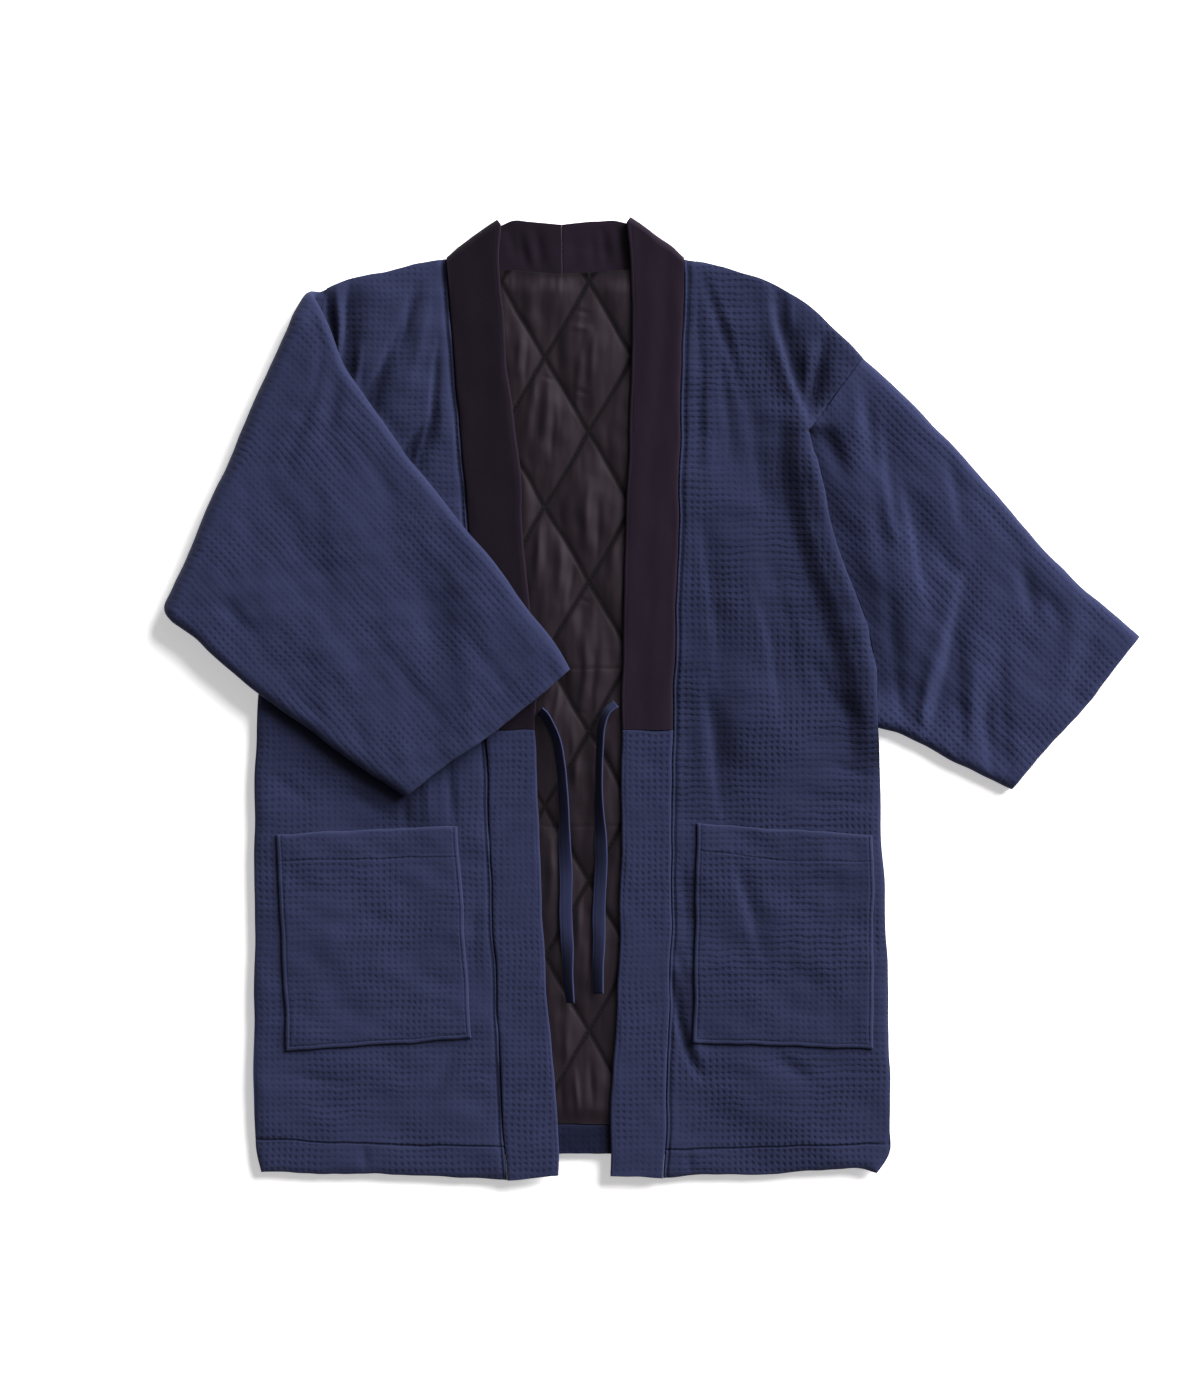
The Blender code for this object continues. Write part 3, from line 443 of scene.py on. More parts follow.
def onPath(points, share):
    # Points at shares of a path's length, on a curve through its rows. A row given twice is a corner.
    rows = np.array(points, float)
    lengths = runLengths(rows[:, :2])
    share = np.asarray(share, float)
    target = share.ravel() * lengths[-1]
    last = len(rows) - 2
    piece = np.clip(np.searchsorted(lengths[1:], target, side="left"), 0, last)
    span = (lengths[piece + 1] - lengths[piece])[:, None]
    local = np.clip((target[:, None] - lengths[piece][:, None]) / span, 0.0, 1.0)
    start, end = rows[piece], rows[piece + 1]
    before = np.where(piece[:, None] > 0, rows[np.maximum(piece - 1, 0)], start)
    after = np.where(piece[:, None] < last, rows[np.minimum(piece + 2, last + 1)], end)
    before = np.where(np.all(before == start, axis=1)[:, None], start * 2 - end, before)
    after = np.where(np.all(after == end, axis=1)[:, None], end * 2 - start, after)
    spanBefore = np.maximum(np.linalg.norm(start - before, axis=1), 1e-6)[:, None]
    spanAfter = np.maximum(np.linalg.norm(after - end, axis=1), 1e-6)[:, None]
    slopeStart = ((start - before) / spanBefore + (end - start) / span) * 0.5 * span
    slopeEnd = ((end - start) / span + (after - end) / spanAfter) * 0.5 * span
    square = local * local
    cube = square * local
    found = (start * (2 * cube - 3 * square + 1) + slopeStart * (cube - 2 * square + local)
             + end * (3 * square - 2 * cube) + slopeEnd * (cube - square))
    return found.reshape(*share.shape, rows.shape[1])


def coons(edges, u, v):
    # Plan view surface between a bottom, top, left and right edge.
    bottom, top, left, right = edges
    p, q = u[..., None], v[..., None]
    low, high, near, far = onPath(bottom, u), onPath(top, u), onPath(left, v), onPath(right, v)
    a, b, c, d = (np.array(spot, float) for spot in (bottom[0], bottom[-1], top[0], top[-1]))
    found = (low * (1 - q) + high * q + near * (1 - p) + far * p
             - a * (1 - p) * (1 - q) - b * p * (1 - q) - c * (1 - p) * q - d * p * q)
    return found[..., 0], found[..., 1]


def lineDistance(x, y, first, second):
    dx, dy = second[0] - first[0], second[1] - first[1]
    square = max(dx * dx + dy * dy, 1e-9)
    share = np.clip(((x - first[0]) * dx + (y - first[1]) * dy) / square, 0.0, 1.0)
    return np.hypot(x - first[0] - dx * share, y - first[1] - dy * share), share


def pathDistance(x, y, points):
    best = np.full(np.shape(x), 1e9)
    for here, after in zip(points, points[1:]):
        best = np.minimum(best, lineDistance(x, y, here, after)[0])
    return best


def foldsAt(x, y, folds):
    # Soft troughs and ridges that fade at their ends. A row gives the half width toward the wearer's
    # right, the one toward the wearer's left, the height, and then the points, from the top down.
    total = np.zeros(np.shape(x))
    for left, right, height, *points in folds:
        steps = [math.dist(here, after) for here, after in zip(points, points[1:])]
        best, side, place, done = np.full(np.shape(x), 1e9), 1.0, 0.0, 0.0
        for (here, after), step in zip(zip(points, points[1:]), steps):
            distance, share = lineDistance(x, y, here, after)
            cross = (after[0] - here[0]) * (y - here[1]) - (after[1] - here[1]) * (x - here[0])
            nearer = distance < best
            best = np.where(nearer, distance, best)
            side = np.where(nearer, cross, side)
            place = np.where(nearer, (done + share * step) / sum(steps), place)
            done += step
        fade = 0.3 + 0.7 * np.sin(math.pi * np.clip(place, 0.0, 1.0))
        total += height * fade * bell(best, np.where(side > 0, right, left))
    return total


def creaseShadeAt(x, y, creases):
    # How far the creases go below the depth at which painted shade begins in them.
    return np.clip(-foldsAt(x, y, creases) - 0.8, 0, 6)


def lumps(x, y, size, seed, count=7):
    # Slow unevenness, about -1 to 1, from a few crossing waves.
    dice = np.random.default_rng(seed)
    total = np.zeros(np.shape(x))
    for _ in range(count):
        way, phase = dice.uniform(0, 2 * math.pi, 2)
        reach = size * dice.uniform(0.7, 1.6)
        total += np.sin((x * math.cos(way) + y * math.sin(way)) * 2 * math.pi / reach + phase)
    return total / math.sqrt(count)


def rowShare(points, index):
    # The share of a path's length at which one of its rows lies.
    lengths = runLengths(np.array(points, float))
    return lengths[index] / lengths[-1]


def spread(length, pitch, marks=(), start=(0.5, 1.3, 2.6), end=(0.5, 1.3, 2.6)):
    # Shares of a length, pitch apart, closer at both ends and round the marks (place, half width).
    places = {0.0, float(length)}
    for step in np.arange(pitch, length - pitch * 0.4, pitch):
        places.add(float(step))
    places.update(start)
    places.update(length - step for step in end)
    for place, half in marks:
        places.update(place + half * share for share in (-1.5, -1, -0.5, 0, 0.5, 1, 1.5))
    kept = []
    for place in sorted(value for value in places if 0.0 <= value <= length):
        if not kept or place - kept[-1] > 0.28:
            kept.append(place)
    kept[-1] = float(length)
    return np.array(kept) / length


# Meshes.
def meshFrom(name, points, faces, weave, wearAndShading, materials, inner=None):
    mesh = bpy.data.meshes.new(name)
    mesh.from_pydata((points * mm).tolist(), [], faces.tolist())
    layer = mesh.uv_layers.new(name="weave")
    corners = np.empty(len(mesh.loops), dtype=np.int32)
    mesh.loops.foreach_get("vertex_index", corners)
    layer.data.foreach_set("uv", (weave[corners] * mm).astype(np.float32).ravel())
    # Per point: above 0 the cloth is lighter, as wear, and on the ties as painted highlight; below 0 it is
    # darkened as painted shade.
    wearAndShadingLayer = mesh.attributes.new("wearAndShading", "FLOAT", "POINT")
    wearAndShadingLayer.data.foreach_set("value", wearAndShading.astype(np.float32))
    mesh.polygons.foreach_set("use_smooth", np.ones(len(mesh.polygons), dtype=bool))
    for material in materials:
        mesh.materials.append(material)
    if inner is not None:
        mesh.polygons.foreach_set("material_index", inner.astype(np.int32))
    mesh.validate()
    mesh.update()
    body = bpy.data.objects.new(name, mesh)
    scene.collection.objects.link(body)
    return body


def wander(points):
    # The same slight unevenness for all pieces, so that seams and edges still meet.
    x, y = points[:, 0].copy(), points[:, 1].copy()
    points[:, 0] += 0.5 * lumps(x, y, 60, 91, 5) + 0.16 * lumps(x, y, 21, 92, 5)
    points[:, 1] += 0.5 * lumps(x, y, 60, 93, 5) + 0.16 * lumps(x, y, 21, 94, 5)
    return points


def clothBody(name, across, along, place, materials, wrap=False):
    # Two layers of a grid moved by place(u, v, layer), joined round the edge into one closed body.
    # place gives x, y, z, and may give weave x, weave y and rub after them.
    u, v = np.meshgrid(across, along, indexing="ij")
    columns, rows = u.shape
    layers, weaves, wearAndShadings = [], [], []
    for layer in (0, 1):
        made = place(u, v, layer)
        x, y, z = (np.broadcast_to(part, u.shape) for part in made[:3])
        wx, wy, wearAndShading = made[3:] if len(made) == 6 else (x, y, np.zeros(u.shape))
        layers.append(np.stack([x, y, z], -1).reshape(-1, 3))
        weave = [np.broadcast_to(part, u.shape) for part in (wx, wy)]
        weaves.append(np.stack(weave, -1).reshape(-1, 2))
        wearAndShadings.append(np.broadcast_to(wearAndShading, u.shape).ravel())
    index = np.arange(columns * rows).reshape(columns, rows)
    if wrap:
        index[-1] = index[0]
    count = columns * rows
    a, b, c, d = index[:-1, :-1], index[1:, :-1], index[1:, 1:], index[:-1, 1:]
    upper = np.stack([a, b, c, d], -1).reshape(-1, 4) + count
    lower = np.stack([a, d, c, b], -1).reshape(-1, 4)
    sides = []
    edges = [(index[:, 0], False), (index[:, -1], True)]
    if not wrap:
        edges += [(index[0], True), (index[-1], False)]
    for row, turn in edges:
        here, after = row[:-1], row[1:]
        wall = [here, after, after + count, here + count]
        sides.append(np.stack(wall[::-1] if turn else wall, -1))
    faces = np.concatenate([upper, lower] + sides)
    inner = np.concatenate([np.zeros(len(upper)), np.ones(len(lower)), np.zeros(sum(map(len, sides)))])
    points, weave, wearAndShading = wander(np.concatenate(layers)), np.concatenate(weaves), np.concatenate(wearAndShadings)
    if wrap:
        used = np.unique(faces)
        renumber = np.full(len(points), -1)
        renumber[used] = np.arange(len(used))
        faces = renumber[faces]
        points, weave, wearAndShading = points[used], weave[used], wearAndShading[used]
    body = meshFrom(name, points, faces, weave, wearAndShading, materials, inner if len(materials) > 1 else None)
    sumUp = bmesh.new()
    sumUp.from_mesh(body.data)
    if sumUp.calc_volume(signed=True) < 0:
        bmesh.ops.reverse_faces(sumUp, faces=sumUp.faces[:])
        sumUp.to_mesh(body.data)
    sumUp.free()
    return body


stitchLook = {
    "pitch": 4.2, "long": 3.0, "thick": 0.55, "seed": 4, "sizes": (0.85, 1.08), "step": 2.5, "lift": 0.1,
    "steepest": 0.3,
}


def makeStitchTree():
    # Repeats one short round stitch along lines.
    tree = bpy.data.node_groups.new("stitches", "GeometryNodeTree")
    tree.interface.new_socket("Geometry", in_out="INPUT", socket_type="NodeSocketGeometry")
    for label, kind in (("Pitch", "Float"), ("Long", "Float"), ("Thick", "Float"), ("Seed", "Int"),
                        ("Thread", "Material")):
        tree.interface.new_socket(label, in_out="INPUT", socket_type="NodeSocket" + kind)
    tree.interface.new_socket("Geometry", in_out="OUTPUT", socket_type="NodeSocketGeometry")

    def add(kind, links, settings=(), values=()):
        made = tree.nodes.new(kind)
        for key, value in dict(settings).items():
            setattr(made, key, value)
        for key, value in dict(values).items():
            made.inputs[key].default_value = value
        for key, socket in links.items():
            tree.links.new(socket, made.inputs[key])
        return made.outputs
    given = tree.nodes.new("NodeGroupInput").outputs
    curve = add("GeometryNodeMeshToCurve", {"Mesh": given["Geometry"]})
    run = {"Curve": curve[0], "Length": given["Pitch"]}
    spots = add("GeometryNodeCurveToPoints", run, {"mode": "LENGTH"})
    ball = add("GeometryNodeMeshUVSphere", {}, (), {"Segments": 5, "Rings": 4, "Radius": 0.5})
    size = add("ShaderNodeCombineXYZ", {"X": given["Thick"], "Y": given["Thick"], "Z": given["Long"]})
    stitch = add("GeometryNodeTransform", {"Geometry": ball[0], "Scale": size[0]})
    chance = add("FunctionNodeRandomValue", {"Seed": given["Seed"]}, {"data_type": "FLOAT"})
    limits = [socket for socket in chance[1].node.inputs if socket.type == "VALUE"]
    for socket, value in zip(limits, stitchLook["sizes"]):
        socket.default_value = value
    row = add("GeometryNodeInstanceOnPoints", {
        "Points": spots["Points"], "Instance": stitch[0], "Rotation": spots["Rotation"], "Scale": chance[1]})
    real = add("GeometryNodeRealizeInstances", {"Geometry": row[0]})
    soft = add("GeometryNodeSetShadeSmooth", {"Geometry": real[0]})
    done = add("GeometryNodeSetMaterial", {"Geometry": soft[0], "Material": given["Thread"]})
    tree.links.new(done[0], tree.nodes.new("NodeGroupOutput").inputs[0])
    return tree


stitchTree = makeStitchTree()


def stitchOn(body, name, paths, thread):
    # Stitches along paths seen from above, laid on the piece's own top.
    look = stitchLook
    skin = bmesh.new()
    skin.from_mesh(body.data)
    surface = BVHTree.FromBMesh(skin)
    skin.free()
    spots, edges = [], []
    for path in paths:
        path = np.asarray(path, float)
        steps = runLengths(path)
        place = np.linspace(0, steps[-1], max(int(steps[-1] / look["step"]), 2))
        line = wander(np.stack([np.interp(place, steps, path[:, axis]) for axis in (0, 1)], -1))
        linked = False
        for x, y in line * mm:
            spot, facing, _, _ = surface.ray_cast((x, y, 0.1), (0, 0, -1))
            if spot is None or facing.z < look["steepest"]:
                linked = False
                continue
            spots.append((spot.x, spot.y, spot.z + look["lift"] * mm))
            if linked:
                edges.append((len(spots) - 2, len(spots) - 1))
            linked = True
    mesh = bpy.data.meshes.new(name + "Lines")
    mesh.from_pydata(spots, edges, [])
    lines = bpy.data.objects.new(name + "Lines", mesh)
    scene.collection.objects.link(lines)
    repeat = lines.modifiers.new("stitches", "NODES")
    repeat.node_group = stitchTree
    values = {"Pitch": look["pitch"] * mm, "Long": look["long"] * mm, "Thick": look["thick"] * mm,
              "Seed": look["seed"], "Thread": thread}
    for item in stitchTree.interface.items_tree:
        if item.in_out == "INPUT" and item.name in values:
            repeat[item.identifier] = values[item.name]
    bpy.context.view_layer.update()
    result = lines.evaluated_get(bpy.context.evaluated_depsgraph_get())
    stitches = bpy.data.objects.new(name, bpy.data.meshes.new_from_object(result))
    scene.collection.objects.link(stitches)
    lines.modifiers.remove(repeat)
    bpy.data.objects.remove(lines)
    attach(stitches, "root")
    return stitches


def beside(points, distance, count=80):
    # The line that runs at a distance to the left of a run of points.
    share = np.linspace(0, 1, count)
    line = onPath(points, share)
    ahead = np.gradient(line, axis=0)
    ahead /= np.linalg.norm(ahead, axis=1)[:, None]
    return line + distance * np.stack([-ahead[:, 1], ahead[:, 0]], -1)


def sew(body, node):
    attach(body, "root")
    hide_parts(node)


# Ties first: limp straps, sewn to the bands' free edges, lying on the lining.
tieLook = {
    "width": 12.5, "thick": 2.2, "edge": 3.0, "edgeShare": 0.45, "bed": 11.6, "long": 290.0,
    "stitchAt": 0.16, "stitchWide": 0.7, "stitchDeep": 0.28, "wave": 0.35, "pinch": 0.5,
}
tieLeftRows = [
    (49, -3.5, 60), (40.4, -10.3, 60), (34.8, -22.6, 58), (32, -42.3, 58), (32, -70.5, 58),
    (32.4, -98.7, 53), (33.4, -127, 35), (33.4, -160, 20), (32.9, -193, 8), (31.5, -221, 14),
    (30.6, -249, 32), (31.5, -276, 42)]
tieRightRows = [
    (-23.5, -10.5, 48), (-17.5, -16, 52), (-9.4, -33, 53), (-4.7, -58, 50), (-0.9, -94, 46), (0, -132, 30),
    (0.5, -169, 5), (0.9, -207, 5), (1.9, -240, 32), (3.8, -268, 46), (5.6, -285, 54)]


def tieMiddle(rows, v):
    centre = onPath(rows, v)
    tilt = np.radians(centre[..., 2])
    level = tieLook["bed"] + tieLook["width"] / 2 * np.sin(tilt) + tieLook["thick"] / 2 * np.cos(tilt)
    return np.stack([centre[..., 0], centre[..., 1], level], -1), tilt


def makeTie(name, node, rows, seed):
    look = tieLook

    def place(u, v, layer):
        middle, tilt = tieMiddle(rows, v)
        ahead = onPath(rows, np.minimum(v + 0.01, 1.0)) - onPath(rows, np.maximum(v - 0.01, 0.0))
        ahead = ahead[..., :2] / np.linalg.norm(ahead[..., :2], axis=-1)[..., None]
        sideways = np.stack([-ahead[..., 1], ahead[..., 0], np.zeros(v.shape)], -1)
        up = np.array([0.0, 0.0, 1.0])
        lean, rise = np.sin(tilt)[..., None], np.cos(tilt)[..., None]
        over = sideways * rise + up * lean
        outward = up * rise - sideways * lean
        nearer = np.minimum(u, 1 - u)
        edge = rounded(nearer * look["width"], look["edge"])
        thick = look["thick"] * mix(look["edgeShare"], 1.0, edge)
        along = v * look["long"]
        wave = look["wave"] * lumps(u * 18, along, 26, seed) * smooth(v * 12)
        lift = (layer - 0.5) * thick + 0.25 * wave
        if layer:
            lift = lift + look["pinch"] * np.sin(u * 19 + 1.2) * (1 - smooth(v * 9)) * edge
            fromStitch = (nearer - look["stitchAt"]) * look["width"]
            lift = lift - look["stitchDeep"] * bell(fromStitch, look["stitchWide"])
        spot = middle + over * ((u - 0.5) * look["width"])[..., None] + outward * lift[..., None]
        # Lighter along both edges, and along the raised edge as painted highlight.
        wearAndShading = 0.9 * (1 - edge) + 0.3 * smooth((u - 0.8) * 5)
        return spot[..., 0], spot[..., 1], spot[..., 2], u * look["width"], along, wearAndShading
    body = clothBody(name, spread(look["width"], 1.0), np.linspace(0, 1, 150), place, [tieCloth])
    line = tieMiddle(rows, np.linspace(0, 1, 90))[0] * mm
    length = float(np.linalg.norm(np.diff(line, axis=0), axis=1).sum())
    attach(body, "root")
    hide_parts(node)
    return length


tieLengths = [
    makeTie("rightTie", "tie_right", tieRightRows, 3),
    makeTie("leftTie", "tie_left", tieLeftRows, 5)]
print("ties, lengths in metres:", [round(length, 3) for length in tieLengths])


# Fronts. A crease's row gives its two half widths and its height, and then its points.
frontLook = {
    "lump": 1.1, "lumpSize": 95.0, "fine": 0.32, "fineSize": 33.0, "crease": 1.3, "deepest": -6.6,
    "topRadius": 9.0, "seamStitch": 3.5, "seamOpen": 0.75, "hemDepth": 1.3, "hemFall": 0.5,
    "pucker": 0.22, "armholeDepth": 1.5,
    "overhangFrom": -80.0, "overhangTo": 280.0, "overhangFadeLow": 50.0, "overhangFadeHigh": 26.0,
    "overhangReach": 28.0, "overhangSlope": 22.0, "overhangRise": 6.6, "edgeTop": 2.6, "edgeUnder": 2.2,
}
frontCreases = [
    (6, 11, -1.4, (-243, 386), (-230, 366), (-214, 329), (-193, 296), (-171, 266), (-140, 216), (-112, 172)),
    (10, 4, 3.2, (190, 386), (196, 350), (206, 319), (217, 286), (226, 262)),
    (3.5, 15, -5.0, (197, 376), (203, 344), (212, 314), (221, 288), (230, 262)),
    (4, 9, -4.2, (243, 340), (238, 308), (231, 272)),
    (4, 4, 1.6, (229, 336), (227, 306), (224, 284)),
    (16, 16, 3.0, (296, 0), (262, 128)),
    (20, 20, 3.5, (263, 125), (230, 262)),
    (5, 9, -2.0, (128, 402), (145, 357), (158, 318), (166, 282)),
    (5, 7, -1.5, (145, 330), (152, 275), (156, 230)),
    (6, 5, 1.4, (137, 396), (156, 350), (167, 310)),
    (5, 4, -1.2, (124, 385), (128, 300), (126, 220)),
    (6, 6, 0.9, (132, 300), (138, 200)),
    (7, 10, -1.3, (172, 300), (180, 230), (190, 170)),
    (5, 4, 1.6, (212, 384), (212, 346)),
    (2.5, 5, -3.6, (-225, 384), (-223, 366), (-220, 344), (-216, 310)),
    (4, 3, 2.4, (-214, 392), (-212, 352), (-211, 326), (-212, 300)),
    (2.5, 15, -5.0, (-203, 394), (-206, 360), (-208, 330), (-209, 304), (-213, 270)),
    (4, 3, 1.8, (-192, 330), (-196, 300), (-200, 276)),
    (3, 14, -5.0, (-164, 332), (-174, 306), (-184, 286), (-194, 262), (-204, 240)),
    (2, 9, -3.0, (-121, 330), (-124, 290), (-127, 262), (-132, 240), (-140, 216)),
    (4, 12, -4.2, (-130, 262), (-142, 244), (-150, 230), (-170, 196)),
    (3, 8, -1.6, (-145, 382), (-149, 350), (-156, 326)),
    (6, 6, -1.9, (-138, 388), (-150, 356), (-166, 324)),
    (6, 5, 1.2, (-128, 380), (-136, 330), (-150, 290)),
    (5, 5, 1.2, (-116, 330), (-117, 250)),
    (4, 4, -1.6, (-150, -92), (-150, -118)),
    (4, 5, -2.0, (-110, -62), (-105, -116)),
    (5, 5, 1.4, (-130, -70), (-128, -112)),
    (3.5, 7, -3.6, (101, -262), (106, -300), (118, -338), (126, -352)),
    (6, 6, 1.8, (112, -300), (130, -345)),
    (5, 18, -3.4, (134, 6), (142, -40), (146, -100)),
    (8, 8, 1.3, (126, -8), (130, -80)),
    (5, 11, -2.2, (160, -150), (174, -200), (186, -240)),
    (8, 7, -1.3, (196, -332), (232, -358)),
    (9, 9, 1.0, (150, -340), (200, -350)),
    (5, 5, -1.3, (103, -232), (112, -262)),
    (7, 8, -1.3, (230, 40), (262, -10), (280, -20)),
    (8, 6, -1.1, (196, 120), (214, 60), (222, 0)),
    (5, 14, -2.0, (128, 170), (140, 90), (146, 20)),
    (5, 14, -1.8, (176, 120), (196, 50), (204, -20)),
    (9, 9, 1.1, (176, 150), (186, 60)),
    (6, 6, -1.1, (250, -60), (290, -72)),
    (6, 6, -1.0, (236, -92), (288, -98)),
    (5, 5, -0.9, (110, -150), (116, -220)),
    (7, 7, -1.5, (-70, -302), (-104, -330), (-120, -352)),
    (7, 7, 1.0, (-88, -338), (-116, -372)),
    (6, 6, -1.0, (-262, -352), (-200, -362)),
    (7, 7, -1.2, (-276, -70), (-240, -96)),
    (6, 6, -1.2, (-205, -84), (-168, -108)),
    (6, 6, -0.9, (-84, -180), (-86, -260)),
    (4, 4, -1.1, (116, -424), (119, -446)),
    (4, 4, -1.0, (-190, -420), (-186, -444))]
leftFront = (leftHem, leftShoulder, leftSeam, leftOuter)
rightFront = (rightHem[::-1], rightShoulder[::-1], rightOuter, rightSeam)
armhole = [(229, 253), (281, 322)]
leftRim = leftHem[:-1] + leftOuter[:seamCornerRow + 1]
rightRim = rightHem[:-1] + rightOuter + rightShoulder[::-1]


def rootAt(y):
    rows = sorted((row[1], row[0]) for row in backLeftSide[:seamCornerRow])
    return np.interp(y, [row[0] for row in rows], [row[1] for row in rows])


def overhang(x, y):
    look = frontLook
    rising = smooth((y - look["overhangFrom"]) / look["overhangFadeLow"])
    falling = smooth((look["overhangTo"] - y) / look["overhangFadeHigh"])
    return rising * falling * smooth((x - rootAt(y) + look["overhangReach"]) / look["overhangSlope"])


def seamProfile(distance, y):
    # Welt beside a band seam, then the stitched groove that holds it.
    higher = smooth((y - 60) / 200)
    wide = 1.3 + 0.9 * higher
    deep = 0.95 + 0.5 * higher
    place = frontLook["seamStitch"] + 0.5 * higher
    return -1.1 * bell(distance, 0.9) - deep * bell(distance - place, wide)


def hemLine(x, left):
    if left:
        return np.interp(x, [90, 200, 300], [-423.0, -420.5, -417.0])
    return np.interp(x, [-295, -170, -55], [-413.0, -418.0, -420.5])


def frontTop(x, y, left):
    look = frontLook
    rim = rounded(pathDistance(x, y, leftRim if left else rightRim), rimRadius)
    if left:
        rim = rim * rounded(pathDistance(x, y, leftShoulder), look["topRadius"])
    folds = np.maximum(foldsAt(x, y, frontCreases) * look["crease"], look["deepest"])
    full = (frontFull + folds + look["lump"] * lumps(x, y, look["lumpSize"], 11)
            + look["fine"] * lumps(x, y, look["fineSize"], 12))
    height = mix(backTop + layerGap + rimThickness, full, rim)
    height = height + seamProfile(pathDistance(x, y, leftSeam if left else rightSeam), y)
    hem = y - hemLine(x, left)
    height = height - look["hemDepth"] * bell(hem, 1.0) - look["hemFall"] * smooth(-hem / 3.0)
    pucker = look["pucker"] * np.sin(x * 0.9 + 1.3 * np.sin(x * 0.13)) * bell(hem - 2.0, 5.0)
    height = height + pucker * rim
    if left:
        height = height - look["armholeDepth"] * bell(pathDistance(x, y, armhole), 1.7)
    return height


def leftFrontTop(x, y):
    look = frontLook
    edge = rounded(pathDistance(x, y, leftRim), rimRadius)
    rise = look["overhangRise"] + look["edgeTop"] * (1.0 - edge)
    return frontTop(x, y, True) + overhang(x, y) * rise


def rightFrontTop(x, y):
    return frontTop(x, y, False)


def leftFrontUnder(x, y):
    look = frontLook
    edge = rounded(pathDistance(x, y, leftRim), rimRadius)
    return backTop + layerGap + overhang(x, y) * (look["overhangRise"] + look["edgeUnder"] * (1.0 - edge))


# Painted shade deep in the creases and beside them, in the same columns as the creases.
frontPaintedShade = [
    (2.5, 4.5, 0.55, (-224, 372), (-222, 362), (-219, 350)),
    (4.0, 7.0, 0.50, (-206, 390), (-204, 374), (-205, 356)),
    (5.0, 8.0, 0.85, (-197, 350), (-201, 332), (-207, 308), (-211, 296)),
    (4.5, 8.0, 0.85, (-165, 324), (-175, 305), (-187, 282), (-194, 268)),
    (6.0, 12.0, 0.50, (-134, 257), (-144, 238), (-152, 222)),
    (18.0, 30.0, 0.22, (-140, 300), (-158, 262), (-166, 225)),
    (34.0, 40.0, 0.26, (128, 170), (134, 60), (142, -40), (150, -120)),
    (16.0, 22.0, 0.20, (170, -140), (164, -200), (158, -260)),
]


def frontWearAndShading(x, y, left):
    # Above 0 the cloth is rubbed flat and lighter, below 0 it is darkened as painted shade, in hollows and
    # grooves and under the folded sleeve.
    seam = pathDistance(x, y, leftSeam if left else rightSeam)
    rim = pathDistance(x, y, leftOuter if left else rightOuter)
    hem = y - hemLine(x, left)
    low = pathDistance(x, y, leftHem if left else rightHem)
    light = 0.8 * bell(seam - 1.5, 1.0) + 0.3 * bell(seam - 8, 4) + 0.35 * bell(rim, 4)
    light = light + 0.35 * bell(hem + 2.2, 1.3) + 0.5 * bell(low, 2.5)
    if not left:
        light = light + 0.35 * smooth((y - 120) / 110)
    # Painted shade in the creases, along the hem line, in the stitched groove beside the band seam and in
    # the armhole groove.
    dark = 0.2 * creaseShadeAt(x, y, frontCreases) + 0.8 * bell(hem, 0.9)
    dark = dark + foldsAt(x, y, frontPaintedShade)
    dark = dark + bell(seam - frontLook["seamStitch"], 1.3) * (0.75 if left else 0.6)
    if left:
        dark = dark + 0.7 * bell(pathDistance(x, y, armhole), 1.3)
    else:
        # Painted shadow of the folded sleeve on the front below it.
        under = pathDistance(x, y, rightSleeveUnder)
        dark = dark + (0.4 * bell(under, 14) + 0.3 * bell(under, 46)) * smooth((x + 292) / 30)
    return np.clip(light, 0, 1) - np.clip(dark, 0, 1)


def seamShift(y):
    # Half the gap beside a band, closed where the seam meets the shoulder.
    return seamGap / 2 - frontLook["seamOpen"] * smooth((y - 400) / 6)


def placeLeftFront(u, v, layer):
    x, y = coons(leftFront, u, v)
    height = leftFrontTop(x, y) if layer else leftFrontUnder(x, y)
    return x + seamShift(y) * (1 - u) ** 4, y, height, x, y, frontWearAndShading(x, y, True)


def placeRightFront(u, v, layer):
    x, y = coons(rightFront, u, v)
    height = rightFrontTop(x, y) if layer else backTop + layerGap + 0 * x
    return x - seamShift(y) * u ** 4, y, height, x, y, frontWearAndShading(x, y, False)


seamSteps = (0.45, 0.95, 1.5, 2.1, 2.7, 3.3, 3.9, 4.6, 5.4, 6.6, 8.2)
rimSteps = (0.4, 1.2, 2.4, 4.0)
rowsLeft = spread(867, 2.6, [(26.5, 0.9), (29.5, 0.9)], rimSteps, rimSteps)
rowsLeft = np.sort(np.append(rowsLeft, rowShare(leftOuter, seamCornerRow)))
leftPanel = clothBody("leftFrontPanel", spread(205, 2.6, (), seamSteps, rimSteps), rowsLeft,
                      placeLeftFront, [crispCloth])
hem = np.linspace(100, 291, 40)
stitches = stitchOn(leftPanel, "leftFrontStitches", [
    beside(leftSeam, -3.8)[3:-3], np.stack([hem, hemLine(hem, True)], -1)], navyThread)
sew(leftPanel, "front_left")
rowsRight = spread(867, 2.6, [(29.0, 0.9), (32.5, 0.9)], rimSteps, rimSteps)
rightPanel = clothBody("rightFrontPanel", spread(205, 2.6, (), rimSteps, seamSteps), rowsRight,
                       placeRightFront, [shellCloth])
hem = np.linspace(-284, -63, 40)
stitches = stitchOn(rightPanel, "rightFrontStitches", [
    beside(rightSeam, 3.8)[3:-3], np.stack([hem, hemLine(hem, False)], -1)], navyThread)
sew(rightPanel, "front_right")
print("fronts")


# Back: one wide panel under everything, flat where it rests.
backPanel = (backHem, backShoulders, backRightSide, backLeftSide)
backRim = backHem[:-1] + backLeftSide + backShoulders[-2::-1] + backRightSide[-2::-1]


def placeBack(u, v, layer):
    x, y = coons(backPanel, u, v)
    edge = rounded(pathDistance(x, y, backRim), rimRadius)
    low = (backTop - rimThickness) * (1.0 - edge)
    return x, y, (backTop + 0 * x if layer else low), x, y, 0.4 * (1 - edge)


